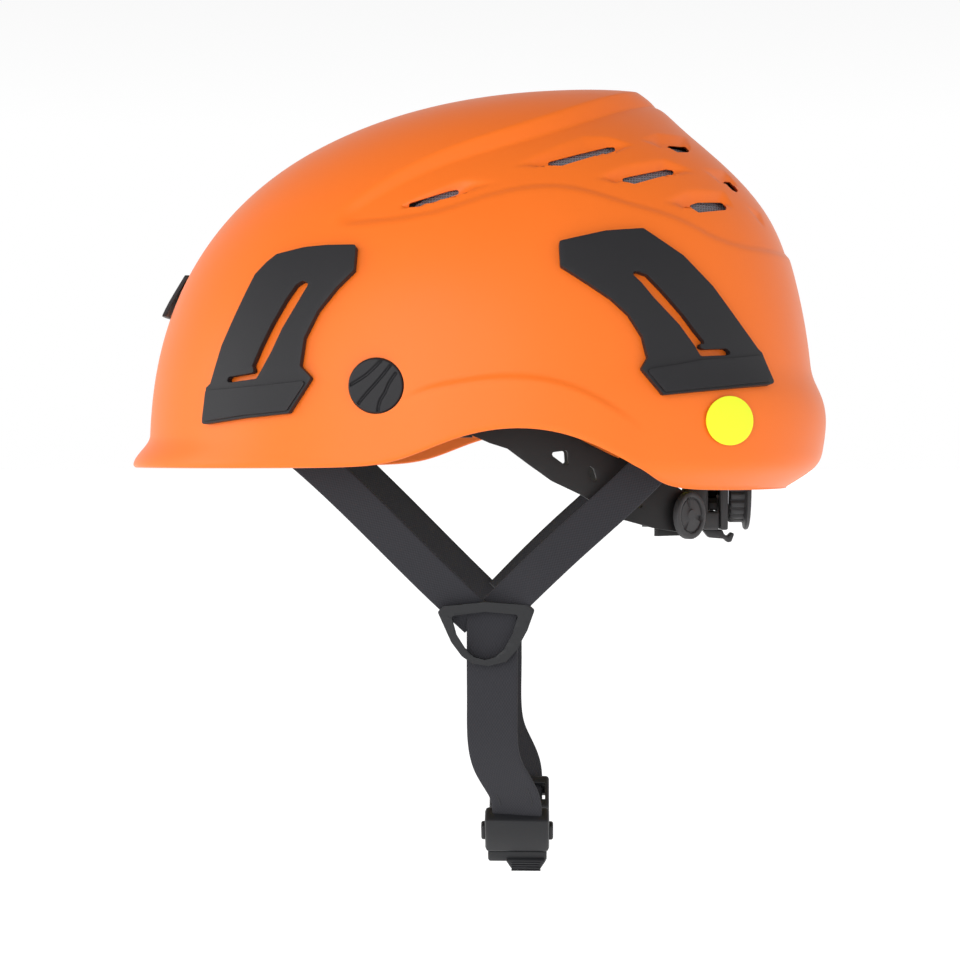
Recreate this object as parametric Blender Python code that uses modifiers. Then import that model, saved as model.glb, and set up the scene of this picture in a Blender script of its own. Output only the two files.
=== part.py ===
"""Climbing helmet: shell, liners, lamp clips, ratchet fit system and chin strap.

The helmet faces -Y, its wearer's left is +X and +Z is up.  The origin is the centre of the
head ring, level with the front rim.  Lengths in this file are millimetres; MM makes them metres.
"""
import math

import bmesh
import bpy
import numpy as np
from mathutils import Matrix, Vector

MM = 0.001
GAP = 0.3

# Driving dimensions of the shell
CROWN_HEIGHT = 153.0
CROWN_Y = 45.0
FRONT_REACH = 175.8
HALF_WIDTH = 108.0
HALF_LENGTH = 139.0
RING_Y = 7.5
PLAN_POWER = 2.25
REAR_FULLNESS = 0.05
SHELL_WALL = 2.5
PANEL_RISE = 3.5
VENT_RECESS = 1.2
BRIM_REACH = 7.0
CREASE_STEP = 0.8

# Layers inside the shell, each measured inwards from the shell's outer face
SCREEN_INSET = 4.3
FOAM_INSET = 6.0
FOAM_WALL = 15.0
SLIP_INSET = 24.6
SLIP_WALL = 1.2
ANCHOR_GAP = 0.9
FOAM_CLEAR = 2.0
PAD_INSET = 27.6
PAD_WALL = 5.5

# Lamp clips, plugs and label
CLIP_WALL = 3.0
PLUG_RADIUS = 10.6
PLUG_Y, PLUG_Z = -28.5, 31.0
LABEL_RADIUS = 9.2
LABEL_Y, LABEL_Z = 104.0, 18.0

# Fit system
TEMPLE_Y, TEMPLE_Z = -5.0, 22.0
ARM_WALL = 2.0
BOSS_X, BOSS_Y, BOSS_Z = 52.0, 88.5, -18.8
BOSS_TURN = math.radians(50)
BOSS_RADIUS = 9.4
KNOB_Z = -8.3
KNOB_RADIUS = 18.0
GRIP_RADIUS = 16.5
PINION_TEETH = 11
PINION_RADIUS = 5.5
RACK_FRONT_Y, RACK_BACK_Y = 102.6, 106.2
RACK_TIP, TOOTH_DEPTH, RACK_BACK = 4.5, 1.8, 9.6
HOUSING_HALF_WIDTH = 15.0

# Chin strap
STRAP_WALL = 1.6
BRANCH_WIDTH = 15.0
CHIN_WIDTH = 20.0
DIVIDER_X = 70.0
DIVIDER_WALL = 3.0
CHIN_Y = 14.0


# ---------------------------------------------------------------- mathematics

def ease(t):
    """Smooth step from 0 to 1."""
    t = np.clip(t, 0.0, 1.0)
    return t * t * (3 - 2 * t)


def curve_through(knots, values, at):
    """Natural cubic spline through a few design points."""
    knots = np.asarray(knots, float)
    values = np.asarray(values, float)
    count = len(knots)
    step = np.diff(knots)
    matrix = np.eye(count)
    right = np.zeros(count)
    for i in range(1, count - 1):
        matrix[i, i - 1:i + 2] = step[i - 1], 2 * (step[i - 1] + step[i]), step[i]
        slope_after = (values[i + 1] - values[i]) / step[i]
        slope_before = (values[i] - values[i - 1]) / step[i - 1]
        right[i] = 6 * (slope_after - slope_before)
    bend = np.linalg.solve(matrix, right)
    at = np.clip(np.asarray(at, float), knots[0], knots[-1])
    k = np.clip(np.searchsorted(knots, at) - 1, 0, count - 2)
    below = at - knots[k]
    above = knots[k + 1] - at
    h = step[k]
    return ((bend[k] * above ** 3 + bend[k + 1] * below ** 3) / (6 * h)
            + (values[k] / h - bend[k] * h / 6) * above
            + (values[k + 1] / h - bend[k + 1] * h / 6) * below)


def rounded(points, radius, steps=4):
    """Closed outline with every corner rounded by an arc."""
    points = [Vector(p) for p in points]
    outline = []
    for i, corner in enumerate(points):
        before = (points[i - 1] - corner).normalized()
        after = (points[(i + 1) % len(points)] - corner).normalized()
        half = before.angle(after) / 2
        reach = min(radius / math.tan(half), 0.45 * (points[i - 1] - corner).length,
                    0.45 * (points[(i + 1) % len(points)] - corner).length)
        if half > math.radians(85):
            outline.append(tuple(corner))
            continue
        r = reach * math.tan(half)
        centre = corner + (before + after).normalized() * (r / math.sin(half))
        start = corner + before * reach - centre
        end = corner + after * reach - centre
        for k in range(steps + 1):
            blend = start.slerp(end, k / steps)
            outline.append(tuple(centre + blend))
    return outline


def circle(cx, cy, radius, count=32):
    turns = [2 * math.pi * k / count for k in range(count)]
    return [(cx + radius * math.cos(a), cy + radius * math.sin(a)) for a in turns]


# ---------------------------------------------------------------- shell surface

def rim_height(y):
    """Height of the shell's lower edge: level at the front, arched over the ear."""
    return curve_through([-150, -60, -40, -22, 0, 22, 42, 61, 84, 109, 160],
                         [0, 0, 0.5, 3, 11.3, 15, 12, 4, -6, -9, -9], y)


def foam_edge(y):
    """Height of the foam's lower edge: higher at the sides, where the straps are anchored."""
    return curve_through([-150, -115, -88, -70, 90, 110, 150], [12, 14, 22, 27, 27, 20, 12], y)


def plan_reach(z):
    """Front reach, rear reach and half width of the shell's ring at a height."""
    up = np.clip(z / CROWN_HEIGHT, -0.3, 0.999999)
    rise = np.clip(up, 0, None)
    front = CROWN_Y - FRONT_REACH * (1 - rise ** 2.38) ** (1 / 2.38)
    lift = np.degrees(np.arcsin(up))
    rear = curve_through([-12, -4, 0, 3, 8, 11, 14, 17, 30, 37, 43, 52, 65, 74, 80, 84, 90],
                         [124, 131, 146.5, 150, 151, 149.2, 145.8, 144.4, 138.7, 134, 128,
                          115, 95.5, 87, 81.5, 73, CROWN_Y], lift)
    width = HALF_WIDTH * (1 - rise ** 2.5) ** (1 / 2.3)
    width = width - 6 * ease((2 - z) / 12)
    return front, rear, width


def crown_edge(y):
    return curve_through([-46, -21, 17, 40, 72, 110], [94, 110, 125, 133, 147, 160], y)


def vent_edge(y):
    return curve_through([-46, -26, -3, 9, 25, 47, 66, 88, 101, 117, 150],
                         [94, 95, 99, 103, 107, 107, 101.5, 95, 89, 86, 88], y)


def relief(y, z):
    """How far the skin stands out of the plain dome: raised crown, recessed vents, ear arch."""
    crown = ease((z - crown_edge(y)) / 4) * ease((84.5 - y) / 3)
    above = ease((z - vent_edge(y)) / 2) * ease((y + 46) / 8)
    panel = PANEL_RISE * ease((y + 60) / 120) * crown
    recess = -VENT_RECESS * above * (1 - crown)
    arch_top = curve_through([-40, -17, 0, 43, 61, 90], [10, 28, 33, 32, 23, 0], y)
    arch = ease((arch_top - z) / 2.5) * ease((y + 25) / 20) * ease((75 - y) / 20)
    return panel + recess + CREASE_STEP * arch


def dome(angle, z, inset=0.0):
    """Point of the dome: angle 0 is the rear, 90 degrees the wearer's left.

    An inner layer is the same dome, drawn in about the middle of its base by its inset.
    """
    front, rear, width = plan_reach(z * CROWN_HEIGHT / (CROWN_HEIGHT - inset))
    centre = (front + rear) / 2
    length = (rear - front) / 2
    fore = np.sign(np.cos(angle)) * np.abs(np.cos(angle)) ** (2 / PLAN_POWER)
    side = np.sign(np.sin(angle)) * np.abs(np.sin(angle)) ** (2 / PLAN_POWER)
    brim = BRIM_REACH * ease((13 - z) / 12) * np.clip(-fore, 0, 1) ** 3
    x = width * side * (1 + REAR_FULLNESS * fore)
    y = centre + length * fore - (brim if inset == 0 else 0)
    x = x * (1 - inset / HALF_WIDTH)
    y = RING_Y + (y - RING_Y) * (1 - inset / HALF_LENGTH)
    return np.stack([x, y, z + 0 * x], -1)


def skin(angle, z, inset=0.0):
    """Shell surface with its relief, pushed along the outward direction of the dome."""
    step = 0.01
    point = dome(angle, z, inset)
    along = dome(angle + step, z, inset) - dome(angle - step, z, inset)
    up = dome(angle, z + 0.5, inset) - dome(angle, z - 0.5, inset)
    normal = np.cross(up, along)
    length = np.linalg.norm(normal, axis=-1, keepdims=True)
    normal = np.where(length > 1e-6, normal / np.maximum(length, 1e-6), [0.0, 0.0, 1.0])
    return point + normal * relief(point[..., 1], point[..., 2])[..., None]


def side_x(y, z, inset=0.0):
    """Half width of the shell at a place given by its y and z."""
    angles = np.linspace(0.0, math.pi, 181)
    y = np.asarray(y, float)
    z = np.asarray(z, float)
    flat = [np.interp(-a, -dome(angles, np.full(181, b), inset)[:, 1],
                      dome(angles, np.full(181, b), inset)[:, 0])
            for a, b in zip(y.ravel(), z.ravel())]
    return np.array(flat).reshape(y.shape)


# ---------------------------------------------------------------- Blender helpers

def new_collection(name):
    collection = bpy.data.collections.new(name)
    bpy.context.scene.collection.children.link(collection)
    return collection


def material(name, colour, roughness, metallic=0.0):
    made = bpy.data.materials.get(name)
    if made is None:
        made = bpy.data.materials.new(name)
        made.use_nodes = True
        shader = made.node_tree.nodes["Principled BSDF"]
        shader.inputs["Base Color"].default_value = (*colour, 1.0)
        shader.inputs["Roughness"].default_value = roughness
        shader.inputs["Metallic"].default_value = metallic
    return made


FINISHES = {
    "shell": ((0.93, 0.21, 0.035), 0.35, 0.0),
    "screen": ((0.09, 0.08, 0.09), 0.8, 0.0),
    "foam": ((0.05, 0.05, 0.055), 0.9, 0.0),
    "slip": ((0.75, 0.66, 0.05), 0.35, 0.0),
    "rubber": ((0.03, 0.03, 0.03), 0.7, 0.0),
    "clip": ((0.035, 0.033, 0.036), 0.5, 0.0),
    "label": ((0.85, 0.95, 0.02), 0.4, 0.0),
    "pad": ((0.03, 0.03, 0.035), 0.95, 0.0),
    "band": ((0.03, 0.028, 0.028), 0.5, 0.0),
    "housing": ((0.06, 0.06, 0.062), 0.5, 0.0),
    "steel": ((0.6, 0.6, 0.62), 0.3, 1.0),
    "webbing": ((0.045, 0.045, 0.05), 0.9, 0.0),
    "buckle": ((0.03, 0.03, 0.032), 0.45, 0.0),
}


def finish_object(obj, finish, collection):
    """Give an object its own material and put it in its collection only."""
    for other in list(obj.users_collection):
        other.objects.unlink(obj)
    collection.objects.link(obj)
    obj.data.materials.clear()
    colour, roughness, metallic = FINISHES[finish]
    obj.data.materials.append(material(f"{obj.name}_{finish}", colour, roughness, metallic))
    return obj


def mesh_part(name, points, faces, finish):
    """Object from points in millimetres; doubled points are welded, faces turned outwards."""
    mesh = bpy.data.meshes.new(name)
    mesh.from_pydata([tuple(p) for p in np.asarray(points) * MM], [], faces)
    work = bmesh.new()
    work.from_mesh(mesh)
    bmesh.ops.remove_doubles(work, verts=work.verts, dist=1e-6)
    bmesh.ops.recalc_face_normals(work, faces=work.faces)
    work.to_mesh(mesh)
    work.free()
    mesh.shade_smooth()
    mesh.set_sharp_from_angle(angle=math.radians(35))
    return finish_object(bpy.data.objects.new(name, mesh), finish, PARTS)


def grid_faces(rows, columns, wrap=False):
    faces = []
    for i in range(rows - 1):
        for j in range(columns if wrap else columns - 1):
            k = (j + 1) % columns
            faces.append((i * columns + j, i * columns + k, (i + 1) * columns + k, (i + 1) * columns + j))
    return faces


def open_sheet(name, grid, finish, wrap=False, towards=(0, 0, 40)):
    """Open surface over a grid of points, its faces turned away from a middle point."""
    rows, columns = grid.shape[:2]
    obj = mesh_part(name, grid.reshape(-1, 3), grid_faces(rows, columns, wrap), finish)
    face = obj.data.polygons[len(obj.data.polygons) // 3]
    outward = face.normal.dot(face.center - Vector(towards) * MM)
    if outward < 0:
        obj.data.flip_normals()
    return obj


def add_wall(obj, wall, outwards=False):
    """Solidify an open sheet into a wall."""
    solid = obj.modifiers.new("wall", "SOLIDIFY")
    solid.thickness = wall * MM
    solid.offset = 1.0 if outwards else -1.0
    solid.use_even_offset = True
    return obj


def add_bevel(obj, width, segments=2):
    bevel = obj.modifiers.new("edges", "BEVEL")
    bevel.width = width * MM
    bevel.segments = segments
    bevel.limit_method = "ANGLE"
    return obj


def boolean(obj, cutter, operation="DIFFERENCE"):
    """Boolean with a cutter, which moves to the cutters' collection."""
    step = obj.modifiers.new(operation.lower(), "BOOLEAN")
    step.operation = operation
    step.solver = "EXACT"
    step.object = cutter
    for other in list(cutter.users_collection):
        other.objects.unlink(cutter)
    CUTTERS.objects.link(cutter)
    cutter.hide_render = True
    cutter.display_type = "WIRE"
    return obj


SIDE = Matrix(((0, 0, 1, 0), (1, 0, 0, 0), (0, 1, 0, 0), (0, 0, 0, 1)))
BACK = Matrix(((1, 0, 0, 0), (0, 0, -1, 0), (0, 1, 0, 0), (0, 0, 0, 1)))


def plate(name, outlines, low, high, finish, facing=SIDE):
    """Flat plate: outlines in its plane, from low to high along the direction it faces.

    SIDE takes (y, z) outlines and faces +X; BACK takes (x, z) outlines and faces -Y.
    """
    flat = bpy.data.curves.new(name, "CURVE")
    flat.dimensions = "2D"
    flat.fill_mode = "BOTH"
    flat.extrude = (high - low) / 2 * MM
    for outline in outlines:
        spline = flat.splines.new("POLY")
        spline.points.add(len(outline) - 1)
        for point, (a, b) in zip(spline.points, outline):
            point.co = (a * MM, b * MM, 0, 1)
        spline.use_cyclic_u = True
    guide = bpy.data.objects.new(name + "_outline", flat)
    bpy.context.scene.collection.objects.link(guide)
    depth = (low + high) / 2 * MM
    guide.matrix_world = facing @ Matrix.Translation((0, 0, depth))
    bpy.context.view_layer.update()
    evaluated = guide.evaluated_get(bpy.context.evaluated_depsgraph_get())
    mesh = bpy.data.meshes.new_from_object(evaluated)
    mesh.transform(guide.matrix_world)
    bpy.data.objects.remove(guide)
    work = bmesh.new()
    work.from_mesh(mesh)
    bmesh.ops.remove_doubles(work, verts=work.verts, dist=1e-6)
    bmesh.ops.recalc_face_normals(work, faces=work.faces)
    work.to_mesh(mesh)
    work.free()
    mesh.name = name
    return finish_object(bpy.data.objects.new(name, mesh), finish, PARTS)


def cylinder(name, start, end, radius, finish, sides=32):
    """Round bar between two points."""
    start, end = Vector(start) * MM, Vector(end) * MM
    work = bmesh.new()
    bmesh.ops.create_cone(work, cap_ends=True, segments=sides, radius1=radius * MM,
                          radius2=radius * MM, depth=(end - start).length)
    turn = (end - start).to_track_quat("Z", "Y").to_matrix().to_4x4()
    bmesh.ops.transform(work, verts=work.verts, matrix=Matrix.Translation((start + end) / 2) @ turn)
    mesh = bpy.data.meshes.new(name)
    work.to_mesh(mesh)
    work.free()
    mesh.shade_smooth()
    mesh.set_sharp_from_angle(angle=math.radians(35))
    return finish_object(bpy.data.objects.new(name, mesh), finish, PARTS)


def block(name, low, high, finish, bevel=0.0):
    """Box between two corners, with bevelled edges if asked."""
    low, high = Vector(low) * MM, Vector(high) * MM
    work = bmesh.new()
    bmesh.ops.create_cube(work, size=1.0)
    size = high - low
    bmesh.ops.scale(work, vec=size, verts=work.verts)
    bmesh.ops.translate(work, vec=(low + high) / 2, verts=work.verts)
    mesh = bpy.data.meshes.new(name)
    work.to_mesh(mesh)
    work.free()
    obj = finish_object(bpy.data.objects.new(name, mesh), finish, PARTS)
    return add_bevel(obj, bevel) if bevel else obj


def ribbon(name, path, across, width, wall, finish="webbing"):
    """Flat strap: a rectangle carried along a path, its width along the given directions."""
    path = np.asarray(path, float)
    across = np.asarray(across, float) * np.ones_like(path)
    along = np.gradient(path, axis=0)
    along /= np.linalg.norm(along, axis=1)[:, None]
    across = across - np.sum(across * along, axis=1)[:, None] * along
    across /= np.linalg.norm(across, axis=1)[:, None]
    through = np.cross(along, across)
    corners = [path + sx * width / 2 * across + sy * wall / 2 * through
               for sx, sy in ((-1, -1), (1, -1), (1, 1), (-1, 1))]
    grid = np.stack(corners, axis=1)
    rows = len(path)
    faces = grid_faces(rows, 4, wrap=True)
    faces += [(0, 1, 2, 3), tuple(4 * (rows - 1) + k for k in range(4))]
    return mesh_part(name, grid.reshape(-1, 3), faces, finish)


def smooth_path(points, count):
    """Smooth path through a few points, at an even spacing."""
    points = np.asarray(points, float)
    travel = np.concatenate([[0], np.cumsum(np.linalg.norm(np.diff(points, axis=0), axis=1))])
    at = np.linspace(0, travel[-1], count)
    return np.stack([curve_through(travel, points[:, k], at) for k in range(3)], 1)


def mirrored(obj, name):
    """Right-hand copy of a left-hand piece, with its modifiers already worked out."""
    bpy.context.view_layer.update()
    evaluated = obj.evaluated_get(bpy.context.evaluated_depsgraph_get())
    mesh = bpy.data.meshes.new_from_object(evaluated)
    mesh.transform(Matrix.Diagonal((-1, 1, 1, 1)) @ obj.matrix_world)
    mesh.flip_normals()
    mesh.name = name
    copy = bpy.data.objects.new(name, mesh)
    slot = obj.data.materials[0].name.rsplit("_", 1)[1]
    mesh.materials.clear()
    return finish_object(copy, slot, PARTS)


# ---------------------------------------------------------------- shell group

def ring_grid(columns, rows, lower, inset=0.0, surface=dome):
    """Grid over the whole dome from a lower edge, given as a function of y, to the crown."""
    angle = np.linspace(0, 2 * math.pi, columns, endpoint=False)
    base = lower(dome(angle, np.zeros(columns))[:, 1])
    share = np.sin(np.linspace(0, math.pi / 2, rows))[:, None]
    top = CROWN_HEIGHT - inset - 0.01
    z = base[None, :] + (top - base[None, :]) * share
    return close_crown(surface(np.broadcast_to(angle, z.shape), z, inset))


def close_crown(grid):
    """Draw the last ring of a dome's grid together into one point."""
    grid = grid.copy()
    grid[-1] = grid[-1].mean(axis=0)
    return grid


def patch_grid(y_low, y_high, z_low, z_high, columns, rows, inset):
    """Grid over a piece of the left side, given by its y and z limits."""
    y = np.linspace(y_low, y_high, columns)[None, :] + np.zeros((rows, 1))
    z = np.linspace(z_low, z_high, rows)[:, None] + np.zeros((1, columns))
    return np.stack([side_x(y, z, inset), y, z], -1)


VENT_SLOTS = {
    "temple": [(-18, 100.5), (-2, 106.5), (3, 106), (-15, 99.5)],
    "middle": [(33, 117), (59, 125.5), (63, 124.5), (41, 116)],
    "lower": [(62, 111), (82, 117), (86, 115.5), (69, 109)],
    "rear": [(89, 101.5), (94, 103.5), (104, 104.5), (107, 101), (94, 98.5)],
    "crown": [(81, 128), (91, 129), (93, 125.5), (87, 124.5)],
    "nape": [(105, 114.5), (109, 115), (112, 110), (109, 110)],
}


def make_shell():
    columns, rows = 52, 14
    shell = open_sheet("outer_shell", ring_grid(columns, rows, rim_height, 0.0, skin), "shell", wrap=True)
    add_wall(shell, SHELL_WALL)
    for name, outline in VENT_SLOTS.items():
        cutter = plate(f"vent_{name}_cutter", [rounded(outline, 1.2, 2)], -130, 130, "rubber")
        boolean(shell, cutter)
    reach = float(side_x(PLUG_Y, PLUG_Z))
    for side in (-1, 1):
        start = (side * (reach - 14), PLUG_Y, PLUG_Z)
        end = (side * (reach + 14), PLUG_Y, PLUG_Z)
        tag = "left" if side > 0 else "right"
        boolean(shell, cylinder(f"plug_hole_{tag}", start, end, PLUG_RADIUS, "rubber"))
    return shell


def make_screens():
    angle = np.radians(np.linspace(10, 114, 22))[None, :]
    height = np.linspace(90, 132, 8)[:, None]
    grid = dome(angle + 0 * height, height + 0 * angle, SCREEN_INSET)
    outline = [(-24, 96), (20, 103), (60, 98), (92, 93), (114, 94), (113, 117), (96, 130.5),
               (60, 130.5), (30, 123), (-6, 110)]
    screen = open_sheet("vent_screen_left", grid, "screen")
    add_wall(screen, 0.7)
    boolean(screen, plate("vent_screen_outline", [rounded(outline, 4, 3)], -20, 130, "rubber"), "INTERSECT")
    mirrored(screen, "vent_screen_right")


def make_liners():
    foam = open_sheet("foam_liner", ring_grid(36, 9, foam_edge, FOAM_INSET), "foam", wrap=True)
    add_wall(foam, FOAM_WALL)
    reach = float(side_x(PLUG_Y, PLUG_Z))
    for side in (-1, 1):
        tag = "left" if side > 0 else "right"
        start = (side * (reach - 9.5), PLUG_Y, PLUG_Z)
        boolean(foam, cylinder(f"plug_pocket_{tag}", start, (side * 130, PLUG_Y, PLUG_Z), 7.0, "rubber"))
    slip = open_sheet("slip_liner", ring_grid(32, 7, lambda y: foam_edge(y) + 9, SLIP_INSET), "slip", wrap=True)
    add_wall(slip, SLIP_WALL)
    anchor_z = 45.0
    room = {}
    for tag, angle in (("front", math.pi), ("rear", 0.0), ("left", math.pi / 2)):
        outer = dome(np.array(angle), np.array(anchor_z), FOAM_INSET + FOAM_WALL)
        inner = dome(np.array(angle), np.array(anchor_z), SLIP_INSET)
        room[tag] = (outer, inner)
    for tag in ("front", "rear"):
        outward = -1 if tag == "front" else 1
        low, high = sorted((room[tag][0][1] - outward * FOAM_CLEAR, room[tag][1][1] + outward * ANCHOR_GAP))
        block(f"slip_anchor_{tag}", (-6, low, anchor_z - 3), (6, high, anchor_z + 3), "rubber", 0.3)
    high, low = room["left"][0][0], room["left"][1][0]
    y = room["left"][0][1]
    left = block("slip_anchor_left", (low + ANCHOR_GAP, y - 6, anchor_z - 3),
                 (high - FOAM_CLEAR, y + 6, anchor_z + 3), "rubber", 0.3)
    mirrored(left, "slip_anchor_right")


def make_pads():
    angle = np.linspace(0, 2 * math.pi, 20, endpoint=False)
    share = np.linspace(0.0, 1.0, 5)[:, None]
    top = CROWN_HEIGHT - PAD_INSET - 0.01
    z = top - (top - 108) * share[::-1] ** 2 + 0 * angle[None, :]
    grid = close_crown(dome(np.broadcast_to(angle, z.shape), z, PAD_INSET))
    crown = open_sheet("crown_pad", grid, "pad", wrap=True)
    add_wall(crown, PAD_WALL)
    for tag, low, high in (("side_pad_left", 62, 118), ("side_pad_right", -118, -62)):
        turn = np.radians(np.linspace(low, high, 8))
        height = np.linspace(52, 84, 5)[:, None] + 0 * turn[None, :]
        pad = open_sheet(tag, dome(np.broadcast_to(turn, height.shape), height, PAD_INSET), "pad")
        add_wall(pad, PAD_WALL)
    turn = np.radians(np.linspace(152, 208, 9))
    height = np.linspace(46, 76, 4)[:, None] + 0 * turn[None, :]
    brow = open_sheet("forehead_pad", dome(np.broadcast_to(turn, height.shape), height, PAD_INSET), "pad")
    add_wall(brow, PAD_WALL)


CLIP_OUTLINES = {
    "front": ([(-35, 84), (-55, 84), (-66, 82), (-74, 77), (-80, 65), (-87, 49), (-92.5, 31.5), (-96.5, 30),
               (-97, 16), (-86, 18), (-61, 21), (-52, 34), (-57, 38), (-55, 47), (-50, 59), (-44, 67),
               (-36, 74)],
              [(-58, 70), (-54, 69), (-60, 61), (-66, 52), (-71.5, 41), (-74, 34.5), (-85, 33), (-86, 34.5),
               (-76, 39), (-69, 54), (-64, 63)]),
    "rear": ([(40, 85), (56, 88), (71, 90), (79, 84), (89, 77), (98, 68), (107, 57), (114, 45), (116, 43.5),
              (121, 31), (78, 27), (70, 37), (73, 41), (71, 48), (66, 57), (59, 64), (49, 69), (40, 75)],
             [(66.5, 73), (70, 73.5), (75, 69), (83, 62), (89, 54), (93, 46), (102, 45), (103, 43), (92, 41.5),
              (85, 54), (75, 64)]),
}


def make_lamp_clips():
    for place, (outer, slot) in CLIP_OUTLINES.items():
        ys = [p[0] for p in outer]
        zs = [p[1] for p in outer]
        grid = patch_grid(min(ys) - 4, max(ys) + 4, min(zs) - 4, max(zs) + 4, 7, 7, 0)
        grid[..., 0] += 1.4 + GAP
        clip = open_sheet(f"lamp_clip_{place}_left", grid, "clip")
        add_wall(clip, CLIP_WALL - 1.4, outwards=True)
        outline = plate(f"lamp_clip_{place}_outline", [rounded(outer, 1.0, 2), rounded(slot, 0.8, 2)],
                        20, 140, "rubber")
        boolean(clip, outline, "INTERSECT")
        mirrored(clip, f"lamp_clip_{place}_right")


def make_forehead_clip():
    """Small hook standing on the forehead, open at its lower end."""
    heights = np.array([82.0, 76.0, 70.0, 64.0, 60.0])
    front = plan_reach(heights)[0]
    outside = [(front[i] - lift, heights[i]) for i, lift in enumerate((0.6, 2.2, 2.6, 3.2, 4.0))]
    inside = [(front[i] - lift, heights[i]) for i, lift in enumerate((0.4, 0.4, 0.4, 1.2, 2.0))]
    plate("forehead_clip", [outside + inside[::-1]], -17, 17, "clip")


def make_plugs():
    reach = float(side_x(PLUG_Y, PLUG_Z))
    disc = cylinder("accessory_plug_left", (reach - 2.2, PLUG_Y, PLUG_Z), (reach + 1.4, PLUG_Y, PLUG_Z),
                    PLUG_RADIUS - GAP, "clip")
    boolean(disc, cylinder("plug_stem", (reach - 8.5, PLUG_Y, PLUG_Z), (reach - 2.0, PLUG_Y, PLUG_Z), 5.0,
                           "rubber"), "UNION")
    mirrored(disc, "accessory_plug_right")


def make_label():
    grid = patch_grid(LABEL_Y - 11, LABEL_Y + 11, LABEL_Z - 11, LABEL_Z + 11, 6, 6, 0)
    grid[..., 0] += 1.0
    label = open_sheet("round_label", grid, "label")
    add_wall(label, 0.5, outwards=True)
    boolean(label, plate("label_outline", [circle(LABEL_Y, LABEL_Z, LABEL_RADIUS)], 40, 130, "rubber"),
            "INTERSECT")


# ---------------------------------------------------------------- fit system

def plan_path(points, count):
    """Smooth path in the horizontal plane through (x, y) points."""
    return smooth_path([(x, y, 0) for x, y in points], count)[:, :2]


def band_grid(path, low, high, rows=4):
    z = np.linspace(low, high, rows)
    flat = np.broadcast_to(path[None, :, :], (rows, len(path), 2))
    return np.concatenate([flat, np.broadcast_to(z[:, None, None], (rows, len(path), 1))], -1)


ARM_PLAN = [(75.0, -14), (75.6, 5), (74.0, 25), (70, 48), (64.2, 69), (57.6, 81.8), (46, 93.5)]


def make_headband():
    turn = np.radians(np.linspace(88, 272, 27))
    path = np.stack([72.5 * np.sin(turn), -2 + 97 * np.cos(turn)], 1)
    band = open_sheet("headband_front", band_grid(path, 13, 31, 2), "band", towards=(0, 0, 22))
    add_wall(band, 1.6, outwards=True)
    turn = np.radians(np.linspace(130, 230, 13))
    path = np.stack([71.8 * np.sin(turn), -2 + 96.2 * np.cos(turn)], 1)
    pad = open_sheet("brow_pad", band_grid(path, 14, 30, 2), "pad", towards=(0, 0, 22))
    add_wall(pad, 5.0)
    hole = cylinder("temple_hole", (40, TEMPLE_Y, TEMPLE_Z), (100, TEMPLE_Y, TEMPLE_Z), 3.0, "rubber", 20)
    boolean(band, hole)
    hole = cylinder("temple_hole_right", (-100, TEMPLE_Y, TEMPLE_Z), (-40, TEMPLE_Y, TEMPLE_Z), 3.0, "rubber", 20)
    boolean(band, hole)
    pin = cylinder("temple_pin_left", (71.0, TEMPLE_Y, TEMPLE_Z), (80.2, TEMPLE_Y, TEMPLE_Z), 2.5, "band", 20)
    for tag, low, high in (("inner", 70.2, 71.8), ("outer", 79.6, 81.2)):
        head = cylinder(f"temple_pin_{tag}", (low, TEMPLE_Y, TEMPLE_Z), (high, TEMPLE_Y, TEMPLE_Z), 5.0, "band", 20)
        boolean(pin, head, "UNION")
    mirrored(pin, "temple_pin_right")


def make_arms():
    outline = [(-12, 28.5), (-11.5, 15.5), (6, 15), (14, 11.5), (20, 7.5), (28, 1.5), (37, -5), (47, -12), (64, -20),
               (76, -25.5), (90, -28), (92, -9), (80, -4), (60, 5), (44, 13), (30, 20), (12, 28.5)]
    windows = [[(35.5, 6), (43, 7), (43.5, 0)], [(50, 1), (55, -0.5), (54.5, -8), (51.5, -8)],
               [(62, -3), (72, -8), (72, -16), (66, -14)]]
    holes = [circle(TEMPLE_Y, TEMPLE_Z, 3.2, 20)]
    grid = band_grid(plan_path(ARM_PLAN, 13), -32, 32, 2)
    arm = open_sheet("arm_left", grid, "band", towards=(0, 30, 0))
    add_wall(arm, ARM_WALL, outwards=True)
    shape = plate("arm_outline", [rounded(outline, 3, 3)] + [rounded(w, 1, 2) for w in windows] + holes,
                  30, 100, "rubber")
    boolean(arm, shape, "INTERSECT")
    outward = Vector((math.cos(BOSS_TURN), math.sin(BOSS_TURN), 0))
    centre = Vector((BOSS_X, BOSS_Y, BOSS_Z))
    boolean(arm, cylinder("arm_pin_hole", centre - 12 * outward, centre + 12 * outward, 2.8, "rubber", 20))
    mirrored(arm, "arm_right")
    pin = cylinder("arm_pin_left", centre + 2.9 * outward, centre + 5.6 * outward, BOSS_RADIUS, "housing")
    boolean(pin, cylinder("arm_pin_shaft", centre - 4.5 * outward, centre + 3.5 * outward, 2.3, "rubber", 20),
            "UNION")
    mirrored(pin, "arm_pin_right")


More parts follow.
